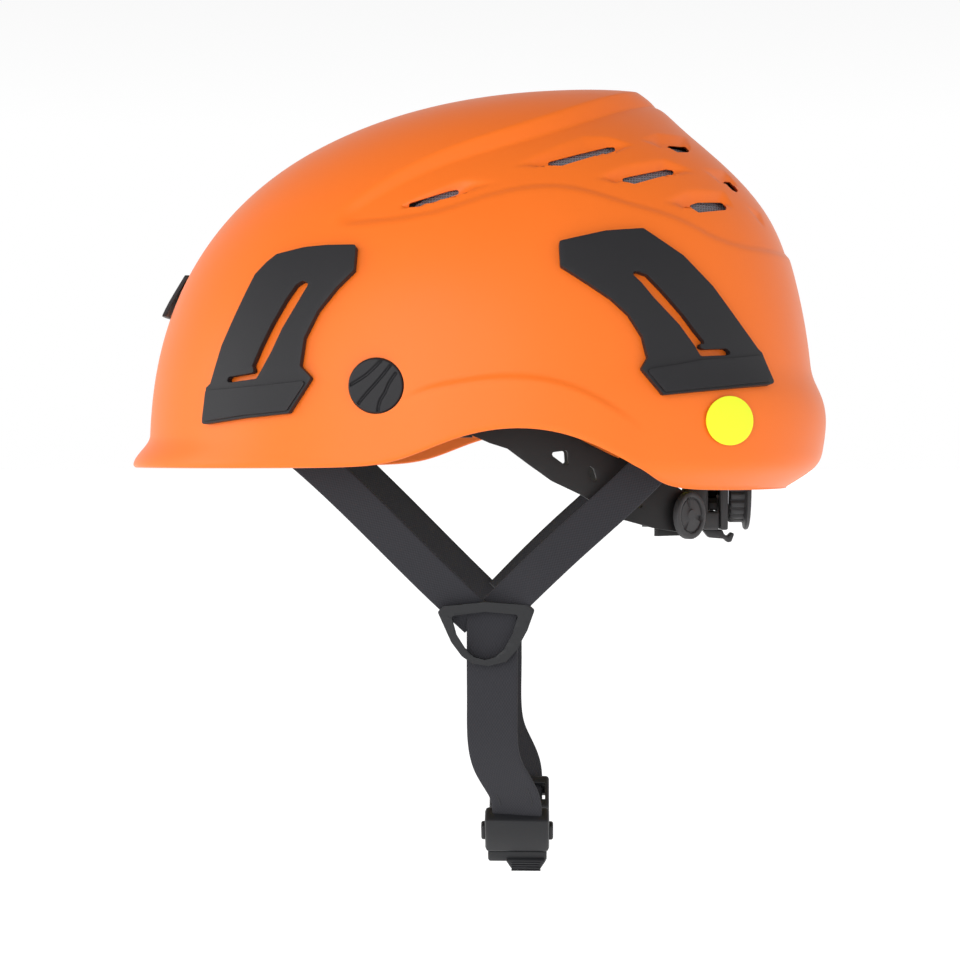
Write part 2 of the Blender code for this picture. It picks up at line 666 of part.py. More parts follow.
def rack_outline(low_x, high_x, phase):
    """Toothed bar below the pinion, seen from behind: teeth up, flat back down.

    phase is where the first tooth stands, as a share of the pitch.
    """
    pitch = 2 * math.pi * PINION_RADIUS / PINION_TEETH
    tip_z = KNOB_Z - RACK_TIP
    root_z = tip_z - TOOTH_DEPTH
    outline = [(low_x, KNOB_Z - RACK_BACK), (high_x, KNOB_Z - RACK_BACK), (high_x, root_z)]
    first = math.floor(high_x / pitch - phase) - 1
    for k in range(first, -10, -1):
        x = (k + phase) * pitch
        if x < low_x + 1:
            break
        outline += [(x + 0.85, root_z), (x + 0.35, tip_z), (x - 0.35, tip_z), (x - 0.85, root_z)]
    outline.append((low_x, root_z))
    return outline


def make_rack(name, side):
    """Rack that runs through the housing, bends forwards and carries the boss hole.

    The left rack lies above the pinion and the right one below it.
    """
    bar = plate(name, [rack_outline(-11, 30, 0.5 if side > 0 else 0.0)], -RACK_BACK_Y, -RACK_FRONT_Y, "band", BACK)
    edges = sorted((side * RACK_BACK, side * (RACK_TIP + TOOTH_DEPTH)))
    bottom, top = KNOB_Z + edges[0] + GAP, KNOB_Z + edges[1] - GAP
    if side > 0:
        flip = Matrix.Translation((0, 0, KNOB_Z * MM)) @ Matrix.Diagonal((1, 1, -1, 1))
        bar.data.transform(flip @ Matrix.Translation((0, 0, -KNOB_Z * MM)))
        bar.data.flip_normals()
    path = plan_path([(27, 104.9), (34, 103.9), (41, 98.5), (46, 92.5), (50.3, 86.4), (56.4, 79.1)], 12)
    link = open_sheet(name + "_link", band_grid(path, -30, 4, 2), "band", towards=(0, 60, 0))
    add_wall(link, ARM_WALL)
    reach = [(60, -27), (60, -12), (46, -9), (40, top), (27.3, top), (27.3, bottom), (38, bottom), (44, -27)]
    shape = plate(name + "_link_outline", [reach], -120, -60, "rubber", BACK)
    boolean(link, shape, "INTERSECT")
    outward = Vector((math.cos(BOSS_TURN), math.sin(BOSS_TURN), 0))
    centre = Vector((BOSS_X, BOSS_Y, BOSS_Z))
    boolean(link, cylinder(name + "_hole", centre - 12 * outward, centre + 12 * outward, 3.8, "rubber", 20))
    boolean(bar, link, "UNION")
    if side < 0:
        right = mirrored(bar, name + "_copy")
        bpy.data.objects.remove(bar)
        right.name = name
        right.data.name = name


def make_nape_unit():
    width = HOUSING_HALF_WIDTH
    make_rack("rack_left", 1)
    make_rack("rack_right", -1)
    housing = block("nape_housing", (-width, 99.8, -26), (width, 106.8, 9), "housing", 1.0)
    boolean(housing, block("housing_channel", (-40, 102.1, KNOB_Z - 10.2), (40, 110, KNOB_Z + 10.2), "rubber"))
    cover = block("nape_cover", (-width, 107.1, -26), (width, 110.3, 9), "housing", 0.8)
    boolean(cover, cylinder("cover_hole", (0, 100, KNOB_Z), (0, 120, KNOB_Z), 3.8, "rubber"))
    teeth = []
    for k in range(PINION_TEETH):
        middle = math.pi / 2 + 2 * math.pi * k / PINION_TEETH
        for turn, radius in ((-0.19, 4.1), (-0.075, 6.05), (0.075, 6.05), (0.19, 4.1)):
            teeth.append((radius * math.cos(middle + turn), KNOB_Z + radius * math.sin(middle + turn)))
    pinion = plate("pinion", [teeth], -RACK_BACK_Y, -RACK_FRONT_Y, "band", BACK)
    shaft = cylinder("pinion_shaft", (0, RACK_BACK_Y - 0.4, KNOB_Z), (0, 115.0, KNOB_Z), 3.4, "rubber", 24)
    boolean(pinion, shaft, "UNION")
    ridges = []
    for k in range(24):
        middle = 2 * math.pi * k / 24
        for turn, radius in ((-0.08, GRIP_RADIUS), (0.08, GRIP_RADIUS), (0.13, GRIP_RADIUS - 1.0)):
            ridges.append((radius * math.cos(middle + turn), KNOB_Z + radius * math.sin(middle + turn)))
    knob = plate("ratchet_knob", [ridges], -118.0, -111.4, "housing", BACK)
    boolean(knob, cylinder("knob_flange", (0, 117.6, KNOB_Z), (0, 119.8, KNOB_Z), KNOB_RADIUS, "rubber", 48),
            "UNION")
    boolean(knob, cylinder("knob_bore", (0, 105, KNOB_Z), (0, 115.3, KNOB_Z), 3.7, "rubber", 24))
    plate("detent_spring", [[(6, KNOB_Z - 7), (7.2, KNOB_Z - 7), (9.4, KNOB_Z), (7.2, KNOB_Z + 7),
                             (6, KNOB_Z + 7), (8.2, KNOB_Z)]], -111.1, -110.6, "steel", BACK)
    tail = [(100.5, -26.3), (103, -29.5), (109.4, -30), (111, -31.6), (112.6, -31.2), (113.8, -27.8),
            (112.6, -27.4), (111.2, -29), (109.6, -28.2), (108.8, -26.3)]
    plate("nape_hanger", [tail], -5, 5, "housing")
    block("nape_pad", (-13.5, 92.5, -23), (13.5, 99.5, 6), "pad", 2.5)


# ---------------------------------------------------------------- chin strap

def make_branches():
    """The two upper branches on each side and the anchors that hold them in the shell."""
    branches = {
        "front": ([(76, -66, 12), (72.8, -51.5, -1.0), (70.8, -20, -31.8), (70.0, -2.5, -49.3)], (0.2, 0.66, 0.72)),
        "rear": ([(79, 84, 10), (77.2, 72, -3), (74.0, 44, -29), (70.4, 21.8, -49.6)], (0.2, 0.72, -0.66)),
    }
    for place, (points, across) in branches.items():
        path = smooth_path(points, 9)
        strap = ribbon(f"strap_{place}_left", path, across, BRANCH_WIDTH, STRAP_WALL)
        mirrored(strap, f"strap_{place}_right")
        x, y, z = points[0]
        wall = min(float(side_x(y + dy, z + dz)) for dy in (-8, 8) for dz in (5, 10)) - SHELL_WALL - 1.0
        anchor = block(f"strap_anchor_{place}_left", (x - 4, y - 8, z + 0.4 + BRANCH_WIDTH * 0.36),
                       (wall, y + 8, z + 4.4 + BRANCH_WIDTH * 0.36), "buckle", 0.8)
        mirrored(anchor, f"strap_anchor_{place}_right")


def make_dividers():
    outer = [(-6.4, -56), (11.3, -51.8), (30, -55.6), (27.2, -63.2), (23.5, -71.2), (19.8, -75.5), (12.8, -77.4),
             (6.2, -76.3), (2.0, -73.5), (-1.6, -68.9)]
    window = [(-2, -58.6), (11.3, -55.4), (25, -56.4), (22.6, -65), (19.4, -71.8), (12.8, -74.6), (6, -72.2),
              (2, -67.4)]
    low, high = DIVIDER_X - DIVIDER_WALL / 2, DIVIDER_X + DIVIDER_WALL / 2
    outer = [(y, z - 1.6) for y, z in outer]
    window = [(y, z - 1.6) for y, z in window]
    divider = plate("divider_left", [rounded(outer, 2, 3), rounded(window, 1.5, 3)], low, high, "buckle")
    mirrored(divider, "divider_right")


CHIN_ROUTE = [(67.4, CHIN_Y, -79.5), (65.5, CHIN_Y, -92), (61.5, CHIN_Y, -106), (55.5, 16, -118),
              (45.6, 22.9, -133.2), (42.4, 23.4, -138.0)]


def make_chin_straps():
    upper = ribbon("chin_strap_top_left", [(67.4, CHIN_Y, -56), (67.4, CHIN_Y, -66), (67.4, CHIN_Y, -79.1)], (0, 1, 0),
                   CHIN_WIDTH, STRAP_WALL)
    mirrored(upper, "chin_strap_top_right")
    path = smooth_path(CHIN_ROUTE, 12)
    ribbon("chin_strap_left", path, (0.1, 1, 0), CHIN_WIDTH, STRAP_WALL)
    under = [(-x, y, z) for x, y, z in CHIN_ROUTE]
    under += [(-36, 23.4, -145.2), (-27, 24, -151.4), (-14, 24, -155.4), (2, 24, -157.6), (16, 24, -157.6),
              (24.8, 24, -156.2)]
    ribbon("chin_strap_right", smooth_path(under, 24), (-0.05, 1, 0), CHIN_WIDTH, STRAP_WALL)


def oriented(obj, origin, along):
    """Turn a piece made along -X at the origin so that it lies along a direction in the XZ plane."""
    turn = math.atan2(along[1], -along[0])
    obj.matrix_world = Matrix.Translation(Vector(origin) * MM) @ Matrix.Rotation(turn, 4, "Y")
    return obj


def make_buckle():
    """Side-release buckle below the left cheek, and the ladder adjuster on the other side."""
    start = Vector((41.6, 23.4, -139.4))
    along = (-0.56, -0.83)
    female = block("buckle_female", (-17.5, -13, -4.6), (0, 13, 4.6), "buckle", 1.6)
    boolean(female, block("buckle_socket", (-19, -10.4, -2.9), (-2.6, 10.4, 2.9), "rubber"))
    windows = []
    for tag, low, high in (("front", -15, -8), ("rear", 8, 15)):
        windows.append(block(f"buckle_window_{tag}", (-13.5, low, -2.2), (-5, high, 2.2), "rubber"))
        boolean(female, windows[-1])
    for obj in (female, bpy.data.objects["buckle_socket"], *windows):
        oriented(obj, start, along)
    male = block("buckle_male", (-23.6, -12, -3.6), (-17.9, 12, 3.6), "buckle", 1.0)
    tongue = block("buckle_tongue", (-18.6, -3.2, -1.5), (-5, 3.2, 1.5), "rubber")
    boolean(male, tongue, "UNION")
    tab = block("buckle_tab", (-27, -4.5, -5.5), (-21, 11.5, 0.5), "rubber", 1.0)
    boolean(male, tab, "UNION")
    for obj in (male, tongue, tab):
        oriented(obj, start, along)
    for tag, side in (("front", -1), ("rear", 1)):
        low, high = sorted((side * 5.2, side * 8.6))
        prong = block(f"prong_{tag}", (-17.6, low, -1.4), (-4.6, high, 1.4), "buckle", 0.5)
        oriented(prong, start, along)
    place = Vector((-36.0, 23.4, -145.2))
    slope = (0.735, -0.676)
    adjuster = block("strap_adjuster", (-9, -13, -4.6), (9, 13, 4.6), "buckle", 1.4)
    slot = block("adjuster_slot", (-20, -11.2, -2.6), (20, 11.2, 2.6), "rubber")
    boolean(adjuster, slot)
    window = block("adjuster_window", (-4.5, -11.2, -6), (4.5, 11.2, 6), "rubber")
    boolean(adjuster, window)
    turn = math.atan2(-slope[1], slope[0])
    for obj in (adjuster, slot, window):
        obj.matrix_world = Matrix.Translation(place * MM) @ Matrix.Rotation(turn, 4, "Y")


for old in list(bpy.data.objects):
    bpy.data.objects.remove(old)
PARTS = new_collection("arborist_helmet")
CUTTERS = new_collection("cutters")
make_shell()
make_screens()
make_liners()
make_pads()
make_lamp_clips()
make_forehead_clip()
make_plugs()
make_label()
make_headband()
make_arms()
make_nape_unit()
make_branches()
make_dividers()
make_chin_straps()
make_buckle()
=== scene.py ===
"""Looks of the climbing helmet: fine shell, liners, clips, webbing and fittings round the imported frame.

Formulas are in millimetres in the frame's own axes: the helmet faces -Y, its wearer's left is +X
and +Z is up.  MM turns them into metres when a mesh is made.
"""
import math

import bmesh
import bpy
import numpy as np
from bpy.props import FloatProperty, FloatVectorProperty, PointerProperty
from mathutils import Matrix, Vector


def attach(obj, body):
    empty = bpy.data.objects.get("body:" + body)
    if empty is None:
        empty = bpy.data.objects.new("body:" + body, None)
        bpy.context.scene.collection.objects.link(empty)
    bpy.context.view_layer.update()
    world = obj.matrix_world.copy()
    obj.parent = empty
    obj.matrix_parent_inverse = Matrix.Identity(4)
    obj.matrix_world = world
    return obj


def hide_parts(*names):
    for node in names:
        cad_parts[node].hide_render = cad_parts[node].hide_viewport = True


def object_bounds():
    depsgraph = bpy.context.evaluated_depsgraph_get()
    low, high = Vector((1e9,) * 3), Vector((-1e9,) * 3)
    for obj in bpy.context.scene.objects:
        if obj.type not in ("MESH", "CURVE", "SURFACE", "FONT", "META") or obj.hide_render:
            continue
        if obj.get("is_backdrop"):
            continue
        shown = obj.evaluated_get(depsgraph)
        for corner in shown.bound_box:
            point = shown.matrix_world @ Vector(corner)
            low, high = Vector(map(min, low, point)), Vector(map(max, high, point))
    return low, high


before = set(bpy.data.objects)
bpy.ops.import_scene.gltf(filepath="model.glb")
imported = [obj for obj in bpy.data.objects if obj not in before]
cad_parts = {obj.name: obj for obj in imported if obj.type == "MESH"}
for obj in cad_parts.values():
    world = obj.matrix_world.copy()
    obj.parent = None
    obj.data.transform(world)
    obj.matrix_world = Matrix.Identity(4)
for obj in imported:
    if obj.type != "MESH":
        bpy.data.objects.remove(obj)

bl_info = {
    "name": "Climbing Helmet Looks",
    "version": (1, 0, 0),
    "blender": (4, 5, 0),
    "location": "3D View > Sidebar > Helmet",
    "description": "Builds the finished surfaces of a vented climbing helmet round its packed frame",
    "category": "Object",
}

MM = 0.001
GAP = 0.3

# Shell, as the frame has it
CROWN_HEIGHT = 153.0
CROWN_Y = 45.0
FRONT_REACH = 175.8
HALF_WIDTH = 108.0
HALF_LENGTH = 139.0
RING_Y = 7.5
PLAN_POWER = 2.25
REAR_FULLNESS = 0.05
SHELL_WALL = 2.5
PANEL_RISE = 3.5
VENT_RECESS = 1.2
BRIM_REACH = 7.0
CREASE_STEP = 1.0
SEAM_DEPTH = 0.6
SCOOP_DEPTH = 3.4

# Layers inside the shell
FOAM_INSET, FOAM_WALL = 6.0, 15.0
SLIP_INSET, SLIP_WALL = 24.6, 1.2
PAD_INSET, PAD_WALL = 27.6, 5.5

# Clips, plugs and label
CLIP_WALL, CLIP_FOOT_LIFT = 2.7, 2.0
PLUG_RADIUS = 10.6
PLUG_Y, PLUG_Z = -28.5, 31.0
LABEL_RADIUS = 9.2
LABEL_Y, LABEL_Z = 104.0, 18.0

# Fit system
TEMPLE_Y, TEMPLE_Z = -5.0, 22.0
BAND_HALF_WIDTH, BAND_REACH, BAND_Y = 73.3, 97.8, -2.0
BAND_HEIGHT, BAND_WALL = 18.0, 1.6
BROW_WALL, BROW_INSET_X, BROW_INSET_Y = 5.0, 1.5, 1.6
BOSS = np.array([52.0, 88.5, -18.8])
BOSS_TURN = math.radians(50)
BOSS_RADIUS = 9.4
KNOB_Z = -8.3

# Chin strap
DIVIDER_X = 70.0
CHIN_X, CHIN_Y = 67.4, 14.0
LOOP_TOP, LOOP_END = -54.5, -79.1
BUCKLE_START = (41.6, 23.4, -139.4)
BUCKLE_ALONG = (-0.56, -0.83)

# Camera, in metres
CAMERA_PLACE = Vector((0.900, 0.03544, 0.00506))
CAMERA_TARGET = Vector((0.0, 0.00717, -0.00549))


# ---------------------------------------------------------------- settings

def colour_field(name, description, default):
    """Colour property, red, green and blue from 0 to 1."""
    return FloatVectorProperty(name=name, description=description, subtype="COLOR", size=3, min=0, max=1,
                               default=default)


class HelmetShellSettings(bpy.types.PropertyGroup):
    """Sizes and colours of the shell and what is fixed to it."""

    colour: colour_field("Shell colour", "Colour of the shell", (0.90, 0.17, 0.012))
    roughness: FloatProperty(name="Shell roughness", description="Sheen of the shell", min=0, max=1,
                             default=0.42)
    fitting: colour_field("Fitting colour", "Colour of clips and plugs", (0.016, 0.0155, 0.0175))
    label: colour_field("Label colour", "Colour of the round label", (0.87, 1.0, 0.022))
    edge: FloatProperty(name="Clip edge", description="Rounding of the lamp clips' edges",
                        min=0.0001, max=0.0012, default=0.0005, unit="LENGTH", precision=4)


class HelmetFitSettings(bpy.types.PropertyGroup):
    """Colours of the ratchet band, its housing and the pads."""

    band: colour_field("Band colour", "Colour of the head band and its arms", (0.014, 0.0135, 0.014))
    housing: colour_field("Housing colour", "Colour of the ratchet housing and knob", (0.042, 0.041, 0.043))
    pad: colour_field("Pad colour", "Colour of the comfort pads", (0.03, 0.03, 0.034))
    slip: colour_field("Slip liner colour", "Colour of the slip liner", (0.72, 0.62, 0.05))


class HelmetStrapSettings(bpy.types.PropertyGroup):
    """Sizes and colours of the webbing and buckles."""

    chin_width: FloatProperty(name="Chin webbing", description="Width of the chin webbing", default=0.020,
                              min=0.015, max=0.022, unit="LENGTH", precision=4)
    branch_width: FloatProperty(name="Branch webbing", description="Width of the upper branches", default=0.015,
                                min=0.012, max=0.016, unit="LENGTH", precision=4)
    thickness: FloatProperty(name="Webbing thickness", description="Thickness of all webbing", default=0.0016,
                             min=0.001, max=0.0018, unit="LENGTH", precision=4)
    webbing: colour_field("Webbing colour", "Colour of the webbing", (0.029, 0.029, 0.034))
    buckle: colour_field("Buckle colour", "Colour of buckle and dividers", (0.0145, 0.015, 0.017))


class HelmetStageSettings(bpy.types.PropertyGroup):
    """Floor, lights and camera."""

    floor_drop: FloatProperty(name="Floor drop", description="Height of the lowest point over the floor",
                              default=0.12, min=0, max=1, unit="LENGTH")
    key_power: FloatProperty(name="Key light", description="Power of the soft light at the wearer's left",
                             default=6.5, min=0, unit="POWER")
    fill_power: FloatProperty(name="Fill light", description="Power of the soft light before the brow",
                              default=3.5, min=0, unit="POWER")
    sky: FloatProperty(name="Sky", description="Strength of the even white surroundings", default=1.0, min=0)
    lens: FloatProperty(name="Lens", description="Focal length on a 36 mm sensor, in millimetres",
                        default=80.03, min=20)


# ---------------------------------------------------------------- mathematics

def ease(t):
    """Smooth step from 0 to 1: three t squared less two t cubed."""
    t = np.clip(t, 0.0, 1.0)
    return t * t * (3 - 2 * t)


def curve_through(knots, values, at):
    """Natural cubic spline: second slopes from one linear system, then a cubic between each two knots."""
    knots = np.asarray(knots, float)
    values = np.asarray(values, float)
    step = np.diff(knots)
    inner = np.arange(1, len(knots) - 1)
    matrix = np.eye(len(knots))
    matrix[inner, inner - 1] = step[:-1]
    matrix[inner, inner] = 2 * (step[:-1] + step[1:])
    matrix[inner, inner + 1] = step[1:]
    slopes = np.diff(values) / step
    right = np.zeros(len(knots))
    right[inner] = 6 * np.diff(slopes)
    bend = np.linalg.solve(matrix, right)
    at = np.clip(np.asarray(at, float), knots[0], knots[-1])
    k = np.clip(np.searchsorted(knots, at) - 1, 0, len(knots) - 2)
    below = at - knots[k]
    above = knots[k + 1] - at
    h = step[k]
    return ((bend[k] * above ** 3 + bend[k + 1] * below ** 3) / (6 * h)
            + (values[k] / h - bend[k] * h / 6) * above
            + (values[k + 1] / h - bend[k + 1] * h / 6) * below)


def smooth_path(points, count):
    """Even run of points along a spline through a few points, by the length travelled between them."""
    points = np.asarray(points, float)
    travel = np.concatenate([[0], np.cumsum(np.linalg.norm(np.diff(points, axis=0), axis=1))])
    at = np.linspace(0, travel[-1], count)
    return np.stack([curve_through(travel, points[:, k], at) for k in range(points.shape[1])], 1)


def unit(vectors):
    """Vectors divided by their own length."""
    return vectors / np.maximum(np.linalg.norm(vectors, axis=-1, keepdims=True), 1e-9)


def rounded(points, radius, steps=4):
    """Closed outline with each corner replaced by an arc that touches both its edges."""
    points = [Vector(p) for p in points]
    outline = []
    for i, corner in enumerate(points):
        before = points[i - 1] - corner
        after = points[(i + 1) % len(points)] - corner
        half = before.angle(after) / 2
        if half > math.radians(86):
            outline.append(tuple(corner))
            continue
        reach = min(radius / math.tan(half), 0.45 * before.length, 0.45 * after.length)
        before.normalize()
        after.normalize()
        centre = corner + (before + after).normalized() * (reach / math.cos(half))
        start = corner + before * reach - centre
        end = corner + after * reach - centre
        outline += [tuple(centre + start.slerp(end, k / steps)) for k in range(steps + 1)]
    return outline


def signed_power(value, power):
    """A value's size raised to a power, with the value's own sign: it squares or pinches a circle."""
    return np.sign(value) * np.abs(value) ** power


def circle(cx, cy, radius, count=48):
    """Closed outline of a circle."""
    turn = np.linspace(0, 2 * math.pi, count, endpoint=False)
    return list(zip(cx + radius * np.cos(turn), cy + radius * np.sin(turn)))


def depth_inside(y, z, outline):
    """Distance from a closed outline, positive inside it: nearest edge, signed by how often a ray crosses."""
    outline = np.asarray(outline, float)
    nearest = np.full(np.shape(y), 1e9)
    inside = np.zeros(np.shape(y), bool)
    for (ya, za), (yb, zb) in zip(outline, np.roll(outline, -1, axis=0)):
        dy, dz = yb - ya, zb - za
        share = np.clip(((y - ya) * dy + (z - za) * dz) / (dy * dy + dz * dz), 0, 1)
        nearest = np.minimum(nearest, np.hypot(y - ya - share * dy, z - za - share * dz))
        crosses = (za > z) != (zb > z)
        inside ^= crosses & (y < ya + (z - za) * dy / (dz if dz else 1e-9))
    return np.where(inside, nearest, -nearest)


# ---------------------------------------------------------------- shell surface

def rim_height(y):
    """Height of the shell's lower edge: level at the front, arched over the ear."""
    return curve_through([-150, -60, -40, -22, 0, 22, 42, 61, 84, 109, 160],
                         [0, 0, 0.5, 3, 11.3, 15, 12, 4, -6, -9, -9], y)


def foam_edge(y):
    """Height of the foam's lower edge: higher at the sides, where the straps are anchored."""
    return curve_through([-150, -115, -88, -70, 90, 110, 150], [12, 14, 22, 27, 27, 20, 12], y)


def plan_reach(z):
    """Front reach, rear reach and half width of the ring at a height: power curves, and a spline behind."""
    up = np.clip(z / CROWN_HEIGHT, -0.3, 0.999999)
    rise = np.clip(up, 0, None)
    front = CROWN_Y - FRONT_REACH * (1 - rise ** 2.38) ** (1 / 2.38)
    lift = np.degrees(np.arcsin(up))
    rear = curve_through([-12, -4, 0, 3, 8, 11, 14, 17, 30, 37, 43, 52, 65, 74, 80, 84, 90],
                         [124, 131, 146.5, 150, 151, 149.2, 145.8, 144.4, 138.7, 134, 128,
                          115, 95.5, 87, 81.5, 73, CROWN_Y], lift)
    width = HALF_WIDTH * (1 - rise ** 2.5) ** (1 / 2.3)
    width = width - 6 * ease((2 - z) / 12)
    return front, rear, width


def crown_edge(y):
    """Height of the raised crown panel's side edge."""
    return curve_through([-46, -21, 17, 40, 72, 110], [94, 110, 125, 133, 147, 160], y)


def vent_edge(y):
    """Height of the fine step below the vents."""
    return curve_through([-46, -26, -3, 9, 25, 47, 66, 88, 101, 117, 150],
                         [94, 95, 99, 103, 107, 107, 101.5, 95, 89, 86, 88], y)


VENTS = {
    "temple": [(-18, 100.5), (-2, 106.5), (3, 106), (-15, 99.5)],
    "middle": [(33, 117), (59, 125.5), (63, 124.5), (41, 116)],
    "lower": [(62, 111), (82, 117), (86, 115.5), (69, 109)],
    "rear": [(89, 101.5), (94, 103.5), (104, 104.5), (107, 101), (94, 98.5)],
    "crown": [(81, 128), (91, 129), (93, 125.5), (87, 124.5)],
    "nape": [(105, 114.5), (109, 115), (112, 110), (109, 110)],
}
SCOOPS = {
    "temple": [(-20, 101), (3, 111.5), (18, 110), (3, 105.5), (-18, 100)],
    "middle": [(22, 116.5), (40, 126), (50, 130.3), (60, 130.3), (70, 127), (63, 124.3), (33, 116.8)],
    "lower": [(53, 111.5), (67, 118.3), (82, 121.5), (95, 117), (86, 115.5), (62, 110.8)],
    "rear": [(80, 102.5), (91, 108.5), (106, 109.5), (109, 103), (104, 104), (89, 101.3)],
    "crown": [(72, 130), (80, 134), (93, 134.5), (93, 128), (81, 127.5)],
    "nape": [(97, 119), (108, 120.5), (113, 114), (105, 114)],
    "tail": [(115, 105), (122, 103), (124, 95.5)],
}


def scoops(y, z):
    """Inward ramp over each vent: zero at the facet's outer border, deepest along the slot's upper edge."""
    total = np.zeros(np.shape(y))
    for name, facet in SCOOPS.items():
        border = depth_inside(y, z, facet)
        slot = -depth_inside(y, z, VENTS[name]) if name in VENTS else 4.0
        share = np.clip(border, 0, None) / (np.clip(border, 0, None) + np.clip(slot, 0.15, None))
        total = np.maximum(total, SCOOP_DEPTH * share * (border > 0))
    return total


def relief(y, z, fine=True):
    """How far the skin stands out of the plain dome: crown raised, vents set in, a seam, scoops, ear arch."""
    crown = np.clip((z - crown_edge(y)) / 4.5, 0, 1) * np.clip((84.5 - y) / 3, 0, 1)
    above = ease((z - vent_edge(y)) / 1.4) * ease((y + 46) / 8)
    panel = PANEL_RISE * ease((y + 60) / 120) * crown
    recess = -VENT_RECESS * above * (1 - crown)
    seam = SEAM_DEPTH * np.exp(-((z - vent_edge(y)) / 0.9) ** 2)
    seam = seam * ease((y + 46) / 8) * ease((140 - y) / 10)
    arch_top = curve_through([-40, -17, 0, 43, 61, 90], [10, 28, 33, 32, 23, 0], y)
    arch = ease((arch_top - z) / 1.8) * ease((y + 25) / 20) * ease((75 - y) / 20)
    out = panel + recess - seam + CREASE_STEP * arch
    return out - scoops(y, z) * (z > 90) if fine else out


def dome(angle, z, inset=0.0):
    """Point of the dome: angle 0 is the rear, 90 degrees the wearer's left, on a superellipse in plan."""
    inset = np.asarray(inset, float)
    front, rear, width = plan_reach(z * CROWN_HEIGHT / (CROWN_HEIGHT - inset))
    centre = (front + rear) / 2
    length = (rear - front) / 2
    fore = signed_power(np.cos(angle), 2 / PLAN_POWER)
    side = signed_power(np.sin(angle), 2 / PLAN_POWER)
    brim = BRIM_REACH * ease((13 - z) / 12) * np.clip(-fore, 0, 1) ** 3 * (inset <= 0)
    x = width * side * (1 + REAR_FULLNESS * fore) * (1 - inset / HALF_WIDTH)
    y = RING_Y + (centre + length * fore - brim - RING_Y) * (1 - inset / HALF_LENGTH)
    return np.stack([x, y, z + 0 * x], -1)


def outward(angle, z, inset=0.0):
    """Outward direction of the dome: cross product of its two slopes."""
    step = 0.01
    along = dome(angle + step, z, inset) - dome(angle - step, z, inset)
    up = dome(angle, z + 0.5, inset) - dome(angle, z - 0.5, inset)
    normal = np.cross(up, along)
    size = np.linalg.norm(normal, axis=-1, keepdims=True)
    return np.where(size > 1e-6, normal / np.maximum(size, 1e-6), [0.0, 0.0, 1.0])


def skin(angle, z):
    """Shell surface: the dome pushed along its outward direction by the relief."""
    point = dome(angle, z)
    return point + outward(angle, z) * relief(point[..., 1], point[..., 2])[..., None]


def side_table():
    """Half width of the plain dome over a grid of y and z, each height read across its ring by y."""
    angle = np.linspace(0, math.pi, 361)
    ys = np.arange(-140, 154, 1.5)
    zs = np.arange(-12, 124, 1.5)
    rings = [dome(angle, np.full(361, z)) for z in zs]
    return ys, zs, np.array([np.interp(-ys, -ring[:, 1], ring[:, 0]) for ring in rings])


SIDE_Y, SIDE_Z, SIDE_X = side_table()


def on_grid(table, a, b, a_axis, b_axis):
    """Bilinear reading of a table at places between its rows and columns."""
    i = np.clip((b - b_axis[0]) / (b_axis[1] - b_axis[0]), 0, len(b_axis) - 1.001)
    j = np.clip((a - a_axis[0]) / (a_axis[1] - a_axis[0]), 0, len(a_axis) - 1.001)
    i0, j0 = i.astype(int), j.astype(int)
    di, dj = i - i0, j - j0
    low = table[i0, j0] * (1 - dj) + table[i0, j0 + 1] * dj
    high = table[i0 + 1, j0] * (1 - dj) + table[i0 + 1, j0 + 1] * dj
    return low * (1 - di) + high * di


def side_x(y, z):
    """Half width of the shell at given y and z."""
    return on_grid(SIDE_X, np.asarray(y, float), np.asarray(z, float), SIDE_Y, SIDE_Z)


def onto_side(y, z, height):
    """Point over the shell's left side: its half width there, then the height along the outward direction."""
    slope_y = (side_x(y + 1.5, z) - side_x(y - 1.5, z)) / 3
    slope_z = (side_x(y, z + 1.5) - side_x(y, z - 1.5)) / 3
    normal = unit(np.stack([np.ones_like(y), -slope_y, -slope_z], -1))
    return np.stack([side_x(y, z), y, z], -1) + normal * height[..., None]


# ---------------------------------------------------------------- mesh helpers

def weave_field(mesh, values):
    """Store a place on the cloth, along and across in metres, for each point of a mesh."""
    field = mesh.attributes.new("weave", "FLOAT_VECTOR", "POINT")
    field.data.foreach_set("vector", np.asarray(values, np.float32).ravel())


def tidy_normals(mesh, sharp=40.0):
    """Merge doubled points, turn faces outwards and shade smooth up to a sharp angle."""
    work = bmesh.new()
    work.from_mesh(mesh)
    bmesh.ops.remove_doubles(work, verts=work.verts, dist=2e-6)
    bmesh.ops.dissolve_degenerate(work, edges=work.edges, dist=1e-7)
    bmesh.ops.recalc_face_normals(work, faces=work.faces)
    work.to_mesh(mesh)
    work.free()
    mesh.shade_smooth()
    mesh.set_sharp_from_angle(angle=math.radians(sharp))


def link_piece(name, mesh):
    """Object for a mesh or other data, put in the scene."""
    piece = bpy.data.objects.new(name, mesh)
    bpy.context.scene.collection.objects.link(piece)
    return piece


def surface(name, grid, wrap_rows=False, wrap_columns=False, weave=None, sharp=40.0):
    """Piece from a grid of points in millimetres, its neighbours joined into four-sided faces."""
    rows, columns = grid.shape[:2]
    index = np.arange(rows * columns).reshape(rows, columns)
    if wrap_rows:
        index = np.concatenate([index, index[:1]], 0)
    if wrap_columns:
        index = np.concatenate([index, index[:, :1]], 1)
    faces = np.stack([index[:-1, :-1], index[:-1, 1:], index[1:, 1:], index[1:, :-1]], -1).reshape(-1, 4)
    mesh = bpy.data.meshes.new(name)
    mesh.from_pydata((grid.reshape(-1, 3) * MM).tolist(), [], faces.tolist())
    if weave is not None:
        weave_field(mesh, weave)
    tidy_normals(mesh, sharp)
    return link_piece(name, mesh)


